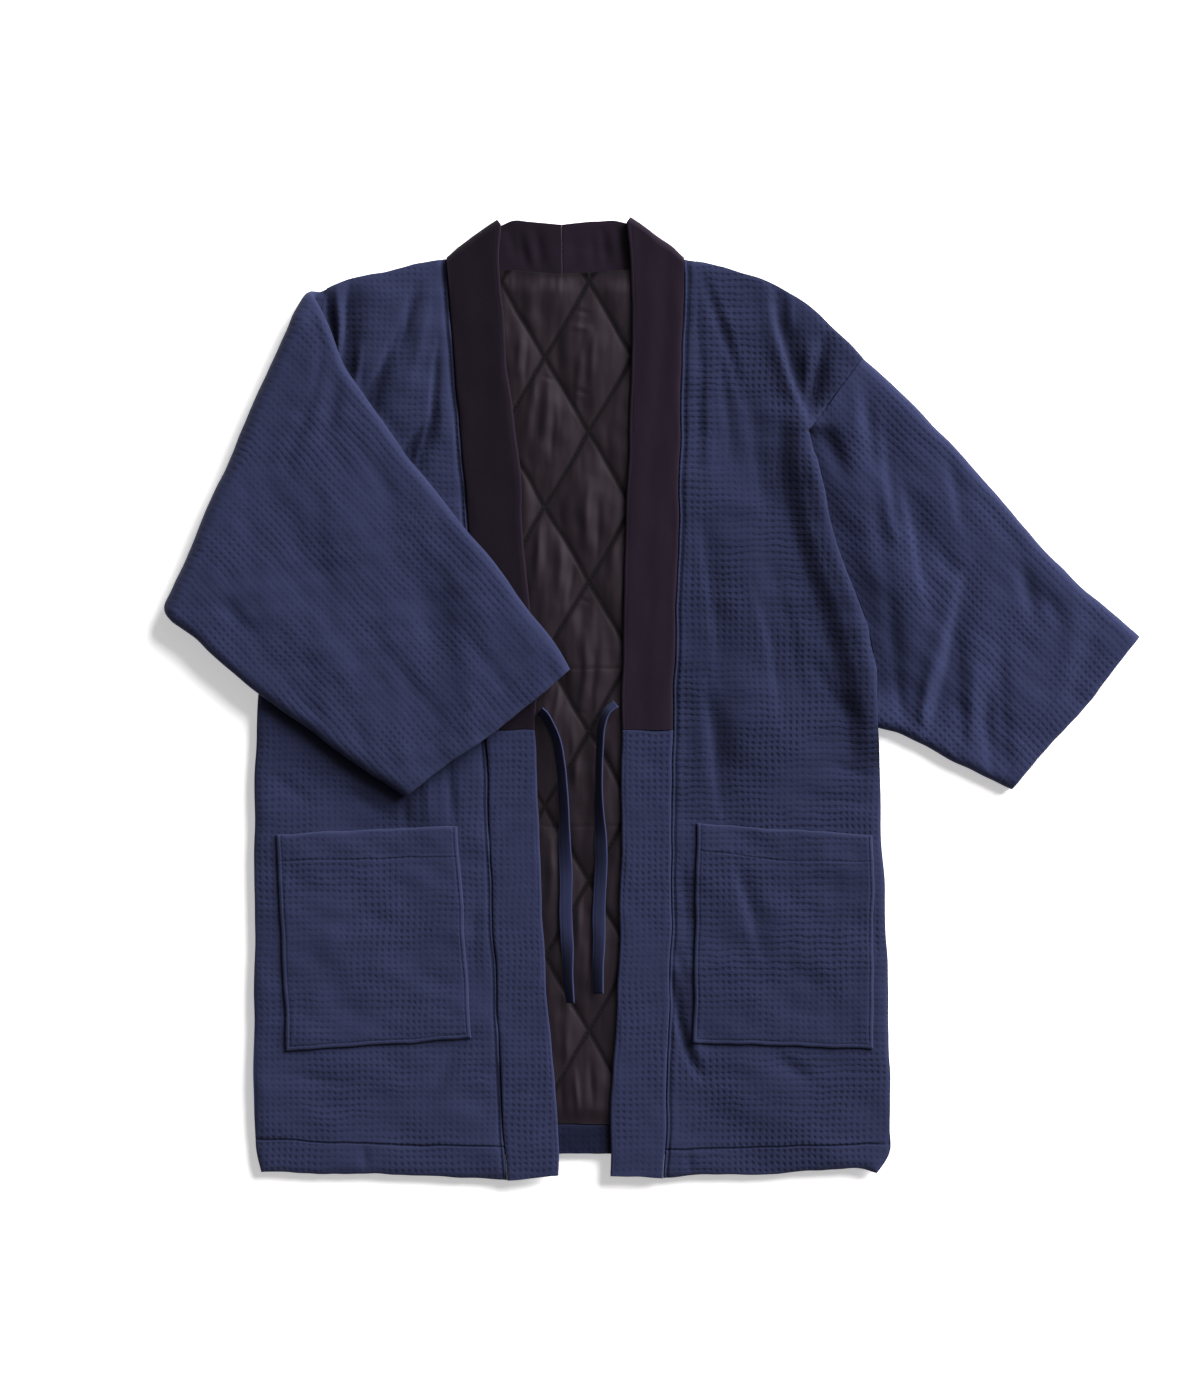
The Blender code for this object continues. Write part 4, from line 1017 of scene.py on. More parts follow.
neckRows = (4, 5, 6, 8, 9, 10)
acrossBack = spread(590, 7.0, (), rimSteps, rimSteps)
for row in neckRows:
    acrossBack = np.append(acrossBack, rowShare(backShoulders, row))
acrossBack = np.unique(np.round(acrossBack, 5))
alongBack = spread(860, 7.0, (), rimSteps, rimSteps)
alongBack = np.sort(np.append(alongBack, rowShare(backLeftSide, seamCornerRow)))
back = clothBody("backPanel", acrossBack, alongBack, placeBack, [shellCloth])
sew(back, "back")
print("back")


# Sleeves: flattened tubes with a thin slit between their padded walls, lined inside.
sleeveLook = {
    "thick": 13.2, "slit": 2.2, "wall": 5.5, "round": 11.0, "slitRound": 4.0, "armhole": 355.0,
    "cuff": 192.0, "leftLength": 290.0, "turnedLength": 300.0, "cuffRound": 6.0, "cuffDrop": 1.6,
    "cuffHem": 27.0, "rootThinner": 0.1, "rootThinPart": 0.07, "foldEase": 9.0, "foldRadius": 7.15,
    "foldStart": 0.16, "foldEnd": 0.30, "thinCorner": 0.82, "thinLength": 34.0, "thinPart": 0.06,
    "collarX": -122.0, "collarRamp": 40.0, "collarLift": 3.0, "lump": 0.9, "rootSag": 5.6, "crease": 1.3,
    "fine": 0.25, "fineSize": 30.0, "deepestLeft": -4.8, "deepestFolded": -4.5,
    "deepestSag": -7.0, "foldWeave": 21.0, "lowWeave": 40.0,
}
leftSleeveCreases = [
    (8, 8, -3.4, (243, 262), (254, 232), (262, 205)), (7, 9, -2.6, (429, 125), (437, 98), (443, 74)),
    (5, 16, -3.4, (378, 120), (366, 60), (352, 0), (340, -44)),
    (10, 5, 2.2, (366, 110), (344, 20), (330, -38)),
    (4, 12, -2.6, (300, 264), (304, 216), (312, 160)), (6, 10, -2.4, (404, 30), (396, -20), (404, -82)),
    (4, 13, -2.8, (316, 216), (330, 150), (338, 96)), (4, 12, -2.2, (356, 240), (366, 200), (374, 160)),
    (22, 22, 1.4, (300, 200), (330, 60)), (6, 8, -2.2, (282, 288), (288, 250), (290, 222)),
    (7, 7, 1.4, (272, 300), (276, 240)), (8, 8, -1.7, (290, 200), (300, 130)),
    (7, 8, -1.7, (302, 120), (308, 60), (312, 10)), (6, 6, -1.6, (312, 20), (318, -24)),
    (5, 5, 1.5, (344, 36), (332, -30)), (7, 7, -1.5, (366, 60), (374, -40)),
    (6, 6, 1.3, (385, 40), (380, -55)), (7, 7, -1.5, (410, 60), (414, -70)),
    (9, 9, -1.5, (450, 110), (470, 60)), (10, 10, 1.2, (480, 90), (470, 20)),
    (4, 4, -1.5, (330, -22), (345, -42)), (4, 4, -1.5, (362, -38), (374, -60)),
    (4, 4, -1.4, (398, -58), (408, -78)), (14, 14, 1.3, (340, 220), (400, 150)),
    (10, 10, -1.2, (400, 180), (440, 130)), (8, 8, -1.0, (500, 60), (470, -10)),
    (9, 9, -1.2, (330, 190), (350, 130)), (8, 8, -1.2, (348, 160), (366, 110))]
rightSleeveCreases = [
    (8, 8, -2.2, (-206, 310), (-218, 272), (-228, 236)), (20, 20, 1.4, (-250, 250), (-180, 130)),
    (16, 16, -1.8, (-150, 150), (-110, 20)), (22, 22, 1.3, (-300, 120), (-200, 20)),
    (1.6, 2.2, -1.6, (-234, 366), (-231, 344), (-228, 330)), (4, 4, -1.2, (-226, 330), (-236, 285)),
    (7, 7, -1.3, (-236, 285), (-262, 220)), (8, 8, -1.0, (-200, 250), (-150, 170)),
    (12, 12, -1.2, (-280, 200), (-220, 110)), (12, 12, 1.0, (-120, 140), (-70, 60)),
    (10, 10, -1.0, (-180, 60), (-120, -20)), (9, 9, -0.9, (-90, 60), (-50, 0)),
    (9, 9, 0.9, (-230, 60), (-190, 0)), (8, 8, -1.1, (-320, 90), (-290, 60)),
    (7, 7, 0.7, (-60, 90), (-20, 40)), (9, 9, 0.8, (-170, -20), (-140, -60)),
    (6, 6, -0.9, (-250, 0), (-226, -20)), (6, 6, -0.8, (-200, -20), (-186, -52))]


def tubePoint(ring, layer, width):
    # ring runs from 0 to 1 over the upper wall and on to 2 under the lower one.
    look = sleeveLook
    side = np.where(ring <= 1.0, 1.0, -1.0)
    share = np.where(ring <= 1.0, ring, 2.0 - ring)
    if layer:
        near = np.minimum(share, 1.0 - share) * width
        return share, side * look["thick"] / 2 * rounded(near, look["round"])
    inset = look["wall"] / width
    share = mix(inset, 1.0 - inset, share)
    near = (np.minimum(share, 1.0 - share) - inset) * width
    return share, side * look["slit"] / 2 * rounded(near, look["slitRound"])


def cuffShape(height, fromCuff):
    # Rounded cuff edge, and the line of stitches that holds its hem.
    look = sleeveLook
    drop = look["cuffDrop"] * (1.0 - rounded(fromCuff, look["cuffRound"]))
    line = 0.5 * bell(fromCuff - look["cuffHem"], 1.1)
    return np.sign(height) * (drop + line * smooth(np.abs(height) / 4.0))


def ringSpread(width, pitch):
    side = spread(width, pitch, (), rimSteps + (6.5,), rimSteps + (6.5,))
    return np.concatenate([side, 2.0 - side[-2::-1]])


def grain(x, y, first, second):
    # Weave position, with the cloth's length running from first toward second.
    dx, dy = second[0] - first[0], second[1] - first[1]
    long = math.hypot(dx, dy)
    dx, dy = dx / long, dy / long
    return (x - first[0]) * dy - (y - first[1]) * dx, (x - first[0]) * dx + (y - first[1]) * dy


leftSleeve = (leftSleeveUnder[::-1], leftSleeveTop[::-1], leftSleeveCuff[::-1], leftSleeveRoot[::-1])
leftSleeveBed = [(229, 250), (250, 165), (285, 70), (293, 20)]


def besideFront(x, y, width):
    # Near 1 on the sleeve just beside the edge of the front above it.
    near = bell(pathDistance(x, y, leftSleeveBed), width + 5 * lumps(x, y, 60, 24))
    return near * smooth((262 - y) / 14)


def sleeveRelief(x, y, creases, deepest, size, seed):
    # Creases and soft unevenness of a sleeve's top.
    look = sleeveLook
    folds = np.maximum(foldsAt(x, y, creases) * look["crease"], deepest)
    folds = folds + look["lump"] * lumps(x, y, size, seed)
    return folds + look["fine"] * lumps(x, y, look["fineSize"], seed + 2)


def leftSleeveRelief(x, y):
    # The cloth also sinks beside the edge of the front above it.
    look = sleeveLook
    folds = sleeveRelief(x, y, leftSleeveCreases, look["deepestLeft"], 80, 21)
    return np.maximum(folds - look["rootSag"] * besideFront(x, y, 25), look["deepestSag"])


def placeLeftSleeve(ring, v, layer):
    look = sleeveLook
    width = mix(look["armhole"], look["cuff"], v)
    share, height = tubePoint(ring, layer, width)
    # the patch runs cuff to coat and under edge to top, so both shares are turned round
    x, y = coons(leftSleeve, 1.0 - v, 1.0 - share)
    fromCuff = (1.0 - v) * look["leftLength"]
    if layer:
        height = height * (1.0 - look["rootThinner"] * (1.0 - smooth(v / look["rootThinPart"])))
        ease = smooth(np.minimum(share, 1 - share) * look["foldEase"])
        relief = leftSleeveRelief(x, y)
        height = height + np.where(ring <= 1.0, relief * ease, 0.0)
        height = height - cuffShape(height, fromCuff)
    else:
        lowest = np.minimum(look["thick"] / 2 + leftSleeveRelief(x, y) - 1.6, height)
        height = np.where(ring <= 1.0, np.maximum(lowest, -look["slit"] / 2 + 0.4), height)
    clear = hiddenGap * smooth((250.0 - y) / rimRadius)
    wx, wy = grain(x, y, (281, 322), (541, 60))
    near = np.minimum(share, 1 - share) * width
    wearAndShading = 0.45 * bell(near, 5) + 0.6 * bell(fromCuff, 3.5) + 0.25 * bell(fromCuff - look["cuffHem"] + 2, 1.6)
    # Painted shade in the sleeve's creases and beside the edge of the front above it.
    dark = 0.12 * creaseShadeAt(x, y, leftSleeveCreases) * (ring <= 1.0)
    dark = dark + 0.6 * besideFront(x, y, 22) * (ring <= 1.0)
    wearAndShading = np.clip(wearAndShading, 0, 1) - np.clip(dark, 0, 1)
    return x + clear * (1 - v), y, look["thick"] / 2 + height, wx, wy, wearAndShading


sleeve = clothBody("leftSleeve", ringSpread(290, 3.0), spread(290, 3.0, [(263, 1.2)], (0.6, 1.5), rimSteps),
                   placeLeftSleeve, [sleeveCloth, liningCloth], wrap=True)
around = np.linspace(0.03, 0.97, 50)
line = coons(leftSleeve, np.full(50, sleeveLook["cuffHem"] / sleeveLook["leftLength"]), around)
stitches = stitchOn(sleeve, "leftCuffStitches", [np.stack(line, -1)], navyThread)
sew(sleeve, "sleeve_left")

lowSleeve = (rightSleeveRoot, foldLow, [rightSleeveRoot[0], foldLow[0]], rightSleeveLowUnder)
highSleeve = (foldHigh, rightSleeveCuff, rightSleeveTop, rightSleeveUnder)
foldAxis = np.array(foldLow[1], float) - np.array(foldLow[0], float)
foldAxis /= np.linalg.norm(foldAxis)
foldOut = np.array([foldAxis[1], -foldAxis[0]])


def placeRightSleeve(ring, v, layer):
    look = sleeveLook
    start, end, radius = look["foldStart"], look["foldEnd"], look["foldRadius"]
    half = look["thick"] / 2
    onward = (v - end) / (1.0 - end)
    width = mix(look["armhole"], look["cuff"], np.maximum(onward, 0.0))
    share, height = tubePoint(ring, layer, width)
    thin = mix(look["thinCorner"], 1.0, smooth(share * width / look["thinLength"]))
    low = v <= start
    turning = (v > start) & (v < end)
    # beside the coat
    lowX, lowY = coons(lowSleeve, share, np.clip(v / start, 0, 1))
    lowZ = (half - height) * thin
    # over the fold
    turn = np.clip((v - start) / (end - start), 0, 1)
    angle = math.pi * turn
    baseLow = np.stack(coons(lowSleeve, share, np.ones(v.shape)), -1)
    baseHigh = np.stack(coons(highSleeve, share, np.zeros(v.shape)), -1)
    base = mix(baseLow, baseHigh, turn[..., None])
    bend = (radius + height) * thin
    arc = base + foldOut * (bend * np.sin(angle))[..., None]
    arcZ = (half + radius) * thin - bend * np.cos(angle)
    # lying over the front
    x, y = coons(highSleeve, share, np.clip(onward, 0, 1))
    full = mix(thin, 1.0, smooth(onward / look["thinPart"]))
    lift = look["collarLift"] * smooth((x - look["collarX"]) / look["collarRamp"])
    rise = height * full
    fromCuff = (1.0 - np.clip(onward, 0, 1)) * look["turnedLength"]
    if layer:
        ease = smooth(np.minimum(share, 1 - share) * look["foldEase"]) * smooth(onward * 12 + 0.15)
        top = sleeveRelief(x, y, rightSleeveCreases, look["deepestFolded"], 85, 31)
        rise = rise + np.where(ring <= 1.0, top * ease, 0.0)
        rise = rise - cuffShape(rise, fromCuff)
    highZ = (half + 2 * radius) * full + lift + rise
    clear = 0.12 + (seamGap + hiddenGap) * smooth((354 - lowY) / 16)
    outX = np.where(low, lowX - clear, np.where(turning, arc[..., 0], x))
    outY = np.where(low, lowY, np.where(turning, arc[..., 1], y))
    outZ = np.where(low, lowZ, np.where(turning, arcZ, highZ))
    wx, wy = grain(x, y, (-300, 220), (-73, -31))
    baseX, baseY = grain(base[..., 0], base[..., 1], (-300, 220), (-73, -31))
    wx = np.where(low | turning, baseX, wx)
    lowWy = baseY - look["foldWeave"] - look["lowWeave"] * (1 - v / start)
    wy = np.where(low, lowWy, np.where(turning, baseY - look["foldWeave"] * (1 - turn), wy))
    near = np.minimum(share, 1 - share) * width
    wearAndShading = (0.22 * bell(near, 8) + 0.5 * bell(fromCuff, 3.5) + 0.2 * bell(fromCuff - look["cuffHem"] + 2, 1.6)
           + 0.3 * np.where(turning, np.sin(angle), 0.0))
    # Painted shade in the creases of the turned sleeve.
    dark = 0.12 * creaseShadeAt(x, y, rightSleeveCreases) * (ring <= 1.0) * ~(low | turning)
    return outX, outY, outZ, wx, wy, np.clip(wearAndShading, 0, 1) - np.clip(dark, 0, 1)


part = sleeveLook["foldEnd"]
beside = np.linspace(0, sleeveLook["foldStart"], 12)
turned = np.linspace(sleeveLook["foldStart"], part, 26)[1:]
onwards = part + (1 - part) * spread(300, 3.0, [(273, 1.2)], (1.5,), rimSteps)[1:]
sleeve = clothBody("foldedSleeve", ringSpread(290, 3.0), np.concatenate([beside, turned, onwards]),
                   placeRightSleeve, [foldedCloth, liningCloth], wrap=True)
line = coons(highSleeve, around, np.full(50, 1.0 - sleeveLook["cuffHem"] / sleeveLook["turnedLength"]))
stitches = stitchOn(sleeve, "foldedCuffStitches", [np.stack(line, -1)], navyThread)
sew(sleeve, "sleeve_right")
print("sleeves")


# Collar and bands: flat padded strips, the collar turned under itself at the shoulders.
stripLook = {
    "width": 48.0, "top": 15.2, "underSeam": 7.9, "underFree": 11.3, "round": 4.0, "dropFree": 1.6,
    "dropSeam": 1.3, "collarThick": 5.6, "lowMid": 4.2, "foldRadius": 3.9, "neckPart": 0.22,
    "turnPart": 0.08, "settle": 0.16, "collarLong": 520.0, "low": -449.0,
}
neckCreases = [
    (5, 5, -1.3, (-52, 444), (-46, 416)), (4, 5, -1.2, (-43, 442), (-36, 404)),
    (5, 5, 0.9, (-36, 438), (-31, 408)), (4, 5, -1.1, (-27, 444), (-23, 406)),
    (6, 6, 0.6, (-14, 442), (-12, 404)), (6, 6, -0.5, (8, 442), (10, 402)),
    (5, 5, -0.9, (28, 438), (26, 408)), (4, 5, -1.3, (36, 444), (38, 410)),
    (5, 5, 0.8, (44, 442), (47, 416)), (4, 4, -1.3, (53, 440), (55, 410))]


def shareAtY(points, y):
    # The share of a path's length at which it reaches a height in the picture.
    dense = np.linspace(0, 1, 4001)
    heights = onPath(points, dense)[:, 1]
    if heights[-1] < heights[0]:
        dense, heights = dense[::-1], heights[::-1]
    return float(np.interp(y, heights, dense))


def stripTop(share, layer):
    # Heights of a band across its width, from the seam to the free edge.
    look = stripLook
    if not layer:
        return mix(look["underSeam"], look["underFree"], share)
    free = look["dropFree"] * (1.0 - rounded((1.0 - share) * look["width"], look["round"]))
    seam = look["dropSeam"] * (1.0 - rounded(share * look["width"], look["round"]))
    return look["top"] - free - seam


def stripRub(u):
    width = stripLook["width"]
    return np.clip(0.7 * bell((1 - u) * width, 2.6) + 0.45 * bell(u * width, 1.8), 0, 1)


def stripSpread(mark, half):
    return spread(stripLook["width"], 2.0, [(mark, half)], rimSteps, rimSteps[:3])


def makeBand(name, node, seam, free, seed):
    look = stripLook
    end = shareAtY(seam, collarEnd)

    def place(u, v, layer):
        inner = onPath(free, v)
        outer = mix(onPath(seam, end * (1.0 - v)), inner, seamGap / 2 / look["width"])
        point = mix(outer, inner, u[..., None])
        x, y = point[..., 0], point[..., 1] - seamGap * (1 - smooth(v * 16))
        height = stripTop(u, layer)
        wearAndShading = stripRub(u)
        if layer:
            inside = smooth(u * 8) * smooth((1 - u) * 8)
            height = height + 0.28 * lumps(x, y, 60, seed) * inside
            height = height + 0.12 * lumps(x, y, 22, seed + 1) * inside
            height = height - 0.25 * bell((1 - u) * look["width"] - 3.4, 1.0)
            fromLow = y - look["low"]
            height = height - 0.5 * (1 - rounded(fromLow, 3.0)) - 0.35 * bell(y - collarEnd, 1.2)
            wearAndShading = np.clip(wearAndShading + 0.5 * bell(fromLow, 2.2), 0, 1)
        return x, y, height, x, y, wearAndShading
    body = clothBody(name, stripSpread(44.6, 1.0), spread(422, 2.6), place, [bandCloth])
    sew(body, node)


def makeCollar(name, node, seam, free, neckSeam, neckFree, seed, paintedCollarShade):
    look = stripLook
    top, end = shareAtY(seam, collarTop), shareAtY(seam, collarEnd)
    begin = np.array(free[0], float)
    corner = mix(onPath(seam, top), begin, seamGap / look["width"])
    axis = (begin - corner) / np.linalg.norm(begin - corner)
    out = np.array([-axis[1], axis[0]]) if axis[0] > 0 else np.array([axis[1], -axis[0]])
    half, radius = look["collarThick"] / 2, look["foldRadius"]
    neck, legStart = look["neckPart"], look["neckPart"] + look["turnPart"]

    def place(u, v, layer):
        side = half if layer else -half
        across = u[..., None]
        onward = np.clip(1.0 - v / neck, 0, 1)
        under = mix(onPath(neckSeam, onward), onPath(neckFree, onward), across)
        underZ = look["lowMid"] - side
        if not layer:
            creases = foldsAt(under[..., 0], under[..., 1], neckCreases)
            underZ = underZ + creases * smooth(u * 6) * smooth((1 - u) * 5)
            underZ = underZ - 0.5 * bell(under[..., 0] + 3.0, 0.8)
        turn = np.clip((v - neck) / look["turnPart"], 0, 1)
        angle = math.pi * turn
        away = mix(np.array([0.0, 1.0]), out, smooth(u * 2.5)[..., None])
        away = away / np.linalg.norm(away, axis=-1)[..., None]
        bend = radius + side
        over = mix(corner, begin, across) + away * (bend * np.sin(angle))[..., None]
        overZ = look["lowMid"] + radius - bend * np.cos(angle)
        leg = np.clip((v - legStart) / (1.0 - legStart), 0, 1)
        inner = onPath(free, leg)
        outer = mix(onPath(seam, mix(top, end, leg)), inner, seamGap / look["width"])
        point = mix(outer, inner, across)
        settled = look["lowMid"] + 2 * radius + side
        legZ = mix(settled, stripTop(u, layer), smooth(leg / look["settle"]))
        if layer:
            inside = smooth(u * 7) * smooth((1 - u) * 7)
            x, y = point[..., 0], point[..., 1]
            legZ = legZ + (0.25 * lumps(x, y * 0.35, 34, seed) + 0.16 * lumps(x, y, 60, seed + 1)) * inside
            fromFree = (1 - u) * look["width"]
            legZ = legZ - 0.22 * bell(fromFree - 3.2, 0.9)
            legZ = legZ - 0.9 * (1 - rounded(fromFree, 3.0)) * (1 - smooth(leg / look["settle"]))
        low, turning = v <= neck, (v > neck) & (v < legStart)
        x = np.where(low, under[..., 0], np.where(turning, over[..., 0], point[..., 0]))
        y = np.where(low, under[..., 1], np.where(turning, over[..., 1], point[..., 1]))
        z = np.where(low, underZ, np.where(turning, overZ, legZ))
        wearAndShading = stripRub(u) * np.where(low, 0.3, 0.9) + np.where(turning, 0.25, 0.0)
        if not layer:
            wearAndShading = wearAndShading + 0.5 * bell(under[..., 0] + 3.0, 0.7) * low
        # The whole collar is darkened as painted shade, half as much on the part under the neck.
        wearAndShading = np.clip(wearAndShading, 0, 1) - paintedCollarShade * np.where(low, 0.5, 1.0)
        return x, y, z, u * look["width"], v * look["collarLong"], wearAndShading
    shares = np.concatenate([spread(110, 2.0, [(1.0, 0.6)]) * neck, np.linspace(neck, legStart, 22)[1:],
                             legStart + (1 - legStart) * spread(436, 3.0)[1:]])
    body = clothBody(name, stripSpread(44.8, 0.9), shares, place, [collarCloth])
    sew(body, node)


makeCollar("leftCollar", "collar_left", leftSeam, collarLeftFree, neckLeftSeam, neckLeftFree, 41, 0.08)
makeCollar("rightCollar", "collar_right", rightSeam, collarRightFree, neckRightSeam, neckRightFree, 47, 0.62)
makeBand("leftBand", "band_left", leftSeam, bandLeftFree, 51)
makeBand("rightBand", "band_right", rightSeam, bandRightFree, 57)
print("collar and bands")


# Lining: black satin, quilted in long diamonds, and the turned-up hem strip below it.
liningLook = {
    "thin": 1.1, "puff": 3.0, "tuck": 22.0, "sideRise": 35.0, "endRise": 16.0,
    "wrinkle": 0.7, "gather": 0.28, "stripTop": 9.7, "stripRound": 5.0, "stripDrop": 1.6,
    "stripTall": 27.0,
}
liningRows = [
    (-399.5, -7, 43), (-313, -14, 47), (-179, -22, 52), (-28, -28, 53), (101, -35, 55), (235, -44, 59),
    (312, -55, 61), (375, -60, 63), (398.5, -61, 63)]
liningCreases = [
    (3, 4, 1.3, (16, 334), (12, 300), (10, 268)), (3, 3, 1.2, (27, 342), (24, 300)),
    (4, 4, 1.2, (-29, 304), (-33, 270), (-34, 248)), (4, 4, 1.3, (-16, 302), (-18, 262), (-22, 236)),
    (3, 3, -1.0, (-9, 276), (-14, 228)), (3, 3, 1.2, (-41, 346), (-45, 306)),
    (2, 3, -1.1, (-35, 338), (-39, 300)), (4, 4, 1.4, (23, 206), (20, 176), (19, 148)),
    (3, 3, -0.9, (32, 192), (30, 124)), (3, 4, 1.3, (-22, 176), (-25, 140), (-28, 108)),
    (4, 5, 1.3, (-5, 158), (-4, 128), (-6, 98)), (3, 3, -1.0, (8, 132), (3, 86)),
    (4, 4, 1.3, (18, 62), (19, 24), (17, -10)), (3, 3, -0.9, (28, 42), (26, -20)),
    (3, 3, 1.1, (-4, 22), (-10, -20)), (3, 4, 1.1, (6, -22), (10, -82)),
    (4, 4, 1.2, (-12, -132), (-14, -190)), (3, 3, 1.1, (14, -170), (12, -230)),
    (3, 3, -0.9, (24, -200), (22, -260)), (4, 4, 1.2, (0, -300), (2, -342)),
    (3, 3, 1.2, (10, -350), (12, -390)), (3, 3, -0.8, (24, -340), (26, -382)),
    (3, 3, -0.8, (-4, -360), (-2, -394)), (2, 2, -0.7, (6, 368), (22, 364)),
    (2.5, 2.5, 0.7, (6, 352), (24, 348)), (2, 2, -0.6, (10, 292), (22, 288)),
    (1.6, 1.6, -0.7, (-22, 306), (-8, 300)), (1.8, 1.8, -0.8, (8, 132), (18, 124)),
    (1.6, 1.6, -0.7, (10, 96), (24, 92)), (2, 2, -0.7, (8, -8), (22, -14)),
    (2, 2, -0.7, (4, -288), (18, -296))]


def quiltPuff(x, y):
    look = quiltLook
    across = (x - look["crossing"][0]) / look["width"]
    along = (y - look["crossing"][1]) / look["length"]
    return np.sqrt(np.abs(np.sin(math.pi * (across + along)) * np.sin(math.pi * (across - along))))


def liningEdges(y):
    rows = np.array(liningRows, float)
    return np.interp(y, rows[:, 0], rows[:, 1]), np.interp(y, rows[:, 0], rows[:, 2])


def liningTop(x, y):
    look = liningLook
    left, right = liningEdges(y)
    inside = np.minimum(x - left + look["tuck"], right + look["tuck"] - x)
    nearEnd = np.minimum(y - liningRows[0][0], liningRows[-1][0] - y)
    fill = smooth(inside / look["sideRise"]) * mix(0.25, 1.0, smooth(nearEnd / look["endRise"]))
    puff = quiltPuff(x, y)
    folds = foldsAt(x, y, liningCreases)
    mask = 0.55 + 0.45 * lumps(x, y, 60, 64)
    streaks = lumps(x, y * 0.2, 24, 61, 9) * look["wrinkle"] * mask
    fine = lumps(x, y * 0.3, 10, 62, 9) * 0.16
    pleats = np.sin(x * 0.62 + 2.4 * np.sin(x * 0.11) + (y - 398) * 0.03)
    gather = look["gather"] * pleats * (0.5 + 0.5 * lumps(x, 0 * y, 30, 66))
    gather = gather * smooth((y - 372 - 9 * np.sin(x * 0.31)) / 26) * (1 - 0.6 * smooth((y - 396) / 4))
    height = look["puff"] * puff + (folds + streaks + fine) * smooth(puff * 2.0)
    lines = -0.4 * bell(y - 30, 0.8) * smooth((x + 20) / 12) - 0.4 * bell(y + 118, 0.8)
    height = height * fill + gather * smooth(inside / 12) * 0.8 + lines * fill
    return backTop + layerGap + look["thin"] + np.maximum(height, -0.6)


def placeLining(u, v, layer):
    look = liningLook
    y = mix(liningRows[0][0], liningRows[-1][0], v)
    left, right = liningEdges(y)
    x = mix(left - look["tuck"], right + look["tuck"], u)
    # the top edge reaches the neck seam, which dips in the middle
    reach = np.interp(x, [-99, -62, -3, 62, 100], [405.2, 404.0, 400.2, 404.5, 405.2]) + 0.8 - 398.5
    y = y + reach * smooth((v - 0.96) / 0.04)
    height = liningTop(x, y) if layer else backTop + layerGap + 0 * x
    # Painted shade along the quilting lines, along the two stitched lines across, and where the lining goes
    # under the neck seam.
    wearAndShading = -0.25 * bell(quiltPuff(x, y), 0.3) - 0.7 * smooth((v - 0.992) / 0.008)
    wearAndShading = wearAndShading - 0.5 * bell(y - 30, 1.2) * smooth((x + 20) / 12) - 0.4 * bell(y + 118, 1.2)
    return x, y, height, x, y, np.clip(wearAndShading, -1, 0)


lining = clothBody("quiltedLining", spread(140, 1.7), spread(798, 1.9), placeLining, [liningCloth])
paths = []
for number in range(-12, 13):
    for way in (-1, 1):
        y = np.linspace(-396, 396, 160)
        x = quiltLook["crossing"][0] + quiltLook["width"] * (
            number + way * (y - quiltLook["crossing"][1]) / quiltLook["length"])
        left, right = liningEdges(y)
        seen = (x > left - 6) & (x < right + 6)
        if seen.sum() > 3:
            paths.append(np.stack([x[seen], y[seen]], -1))
stitches = stitchOn(lining, "quiltStitches", paths, darkThread)
sew(lining, "lining")


def placeHemStrip(u, v, layer):
    look = liningLook
    x, y = mix(-21.0, 57.0, u), mix(-427.0, -400.0, v)
    fromLow, fromHigh = v * look["stripTall"], (1.0 - v) * look["stripTall"]
    top = look["stripTop"] - look["stripDrop"] * (1.0 - rounded(fromHigh, look["stripRound"]))
    top = top - 0.5 * (1 - rounded(fromLow, 3.0)) + 0.18 * lumps(x, y, 16, 71)
    # The strip is darkened all over as painted shade between the bands, a little less at its folded lower
    # edge.
    return x, y, (top if layer else backTop + layerGap + 0 * x), x, y, 0.25 * bell(fromLow, 2.5) - 1.0


strip = clothBody("backHemStrip", spread(78, 1.8), spread(27, 1.5), placeHemStrip, [shellCloth])
sew(strip, "hem_back")
print("lining and back hem strip")


# Pockets: flat patches with a folded edge, a stitched line inside it and a hemmed mouth.
pocketLook = {
    "width": 172.0, "height": 205.0, "thick": 2.4, "edgeThick": 0.9, "edge": 4.0, "lift": 0.7,
    "mouthPart": 0.14, "stitchIn": 4.0, "stitchDeep": 0.5, "hemDeep": 0.6,
}
pocketLeft = [(120, -322), (290, -328), (124, -116), (290, -127)]
pocketRight = [(-262, -330), (-88, -318), (-271, -126), (-101, -118)]


def pocketSpot(corners, u, v):
    p, q = u[..., None], v[..., None]
    a, b, c, d = (np.array(corner, float) for corner in corners)
    return mix(mix(a, b, p), mix(c, d, p), q)


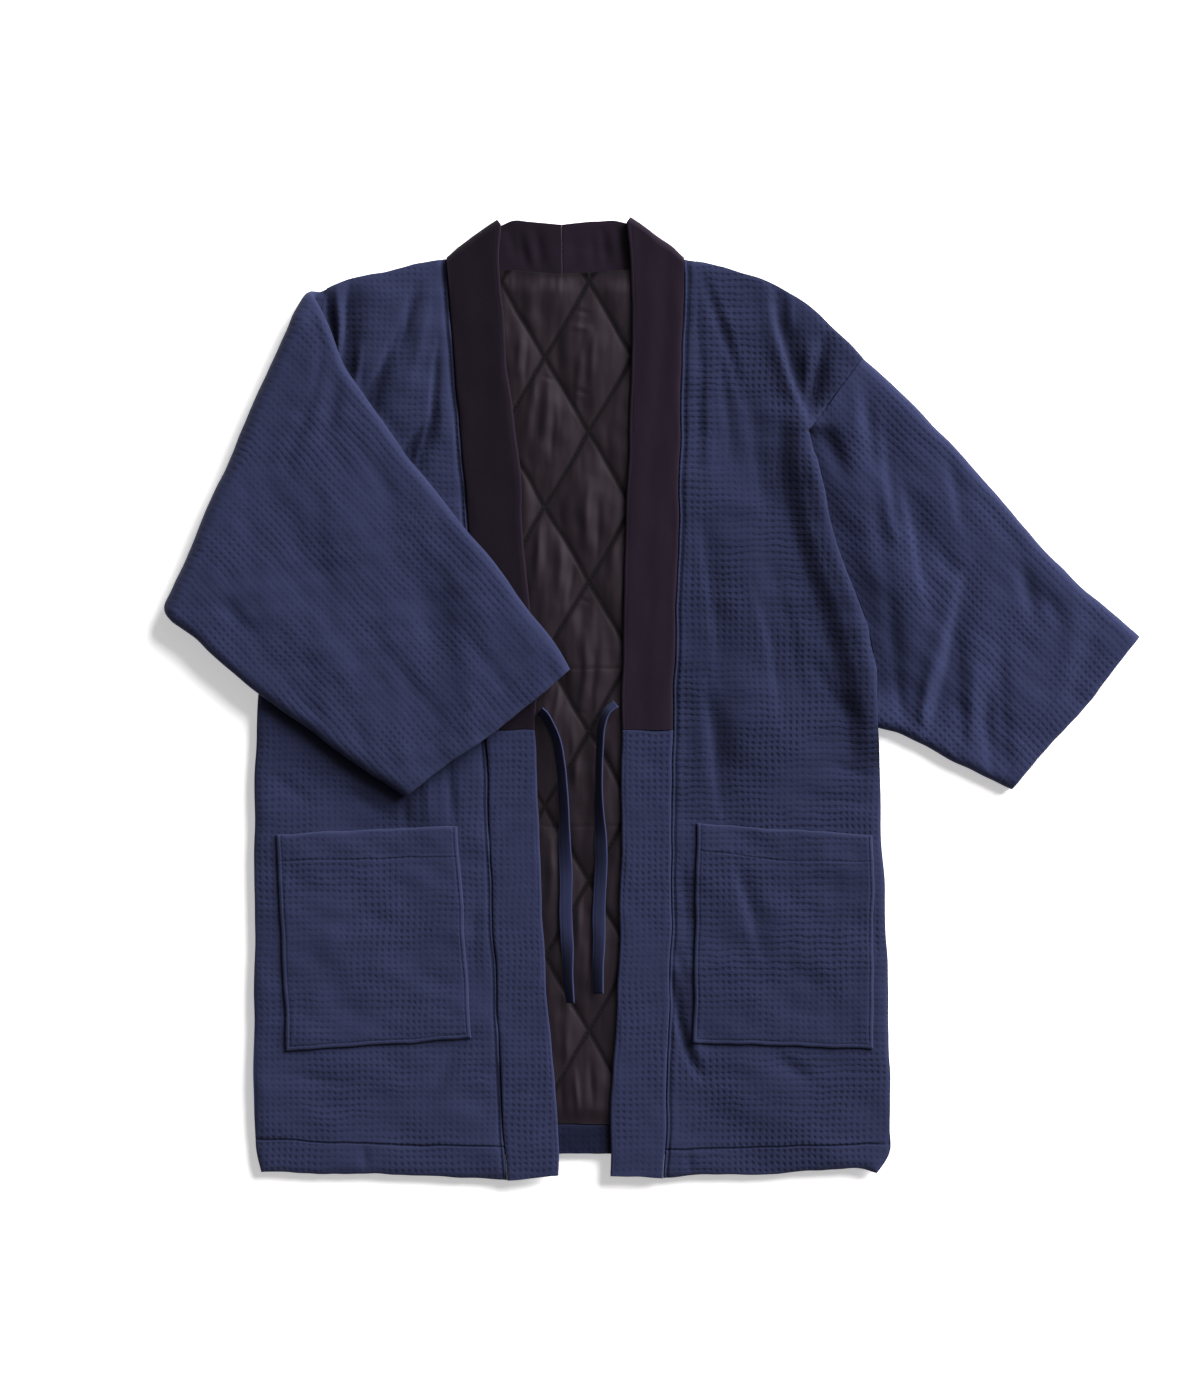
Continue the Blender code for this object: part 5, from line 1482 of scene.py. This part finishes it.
def makePocket(name, node, corners, surface, gape, hemShape, seed, cloth):
    look = pocketLook

    def place(u, v, layer):
        spot = pocketSpot(corners, u, v)
        x, y = spot[..., 0], spot[..., 1]
        mouth = gape * smooth((v - 1.0 + look["mouthPart"]) / look["mouthPart"]) * np.sin(math.pi * u)
        under = surface(x, y) + look["lift"] + mouth
        sides = np.minimum(u, 1.0 - u) * look["width"]
        low, high = v * look["height"], (1.0 - v) * look["height"]
        edge = np.minimum(sides, np.minimum(low, high))
        thick = mix(look["edgeThick"], look["thick"], rounded(edge, look["edge"]))
        inset = np.minimum(sides, low)
        line = np.interp(u, *hemShape)
        groove = look["stitchDeep"] * bell(inset - look["stitchIn"], 0.8)
        groove = groove + look["hemDeep"] * bell(high - line, 0.9) * smooth(sides / 5)
        body = 0.3 * lumps(x, y, 60, seed) + 0.15 * lumps(x, y, 24, seed + 1)
        body = body * smooth(edge / 12) - 0.25 * smooth((line - high) / 4)
        height = under + thick - groove + body if layer else under
        wearAndShading = 0.75 * bell(edge - 0.8, 1.6) + 0.35 * bell(inset - 2.4, 1.0) + 0.25 * smooth((line - high) / 4)
        return x, y, height, x, y, np.clip(wearAndShading, 0, 1)
    marks = [(look["stitchIn"], 0.8), (look["width"] - look["stitchIn"], 0.8)]
    upright = [(look["stitchIn"], 0.8)] + [(look["height"] - depth, 1.0) for depth in hemShape[1]]
    body = clothBody(name, spread(look["width"], 2.4, marks, rimSteps[:3], rimSteps[:3]),
                     spread(look["height"], 2.4, upright, rimSteps[:3], rimSteps[:3]), place, [cloth])
    inX, inY = look["stitchIn"] / look["width"], look["stitchIn"] / look["height"]
    across = np.linspace(inX, 1 - inX, 30)
    up = np.linspace(inY, 0.99, 30)
    run = ((inX + 0 * up, up[::-1]), (across, inY + 0 * across), (1 - inX + 0 * up, up))
    sides = [pocketSpot(corners, u, v) for u, v in run]
    mouth = pocketSpot(corners, across, 1 - np.interp(across, *hemShape) / look["height"])
    stitches = stitchOn(body, name + "Stitches", [np.concatenate(sides), mouth], navyThread)
    sew(body, node)


makePocket("leftPocket", "pocket_left", pocketLeft, leftFrontTop, 0.6,
           ([0.0, 0.5, 1.0], [25.0, 29.5, 25.5]), 81, crispCloth)
makePocket("rightPocket", "pocket_right", pocketRight, rightFrontTop, 1.6,
           ([0.0, 0.5, 1.0], [25.0, 28.0, 30.0]), 87, shellCloth)
print("pockets")
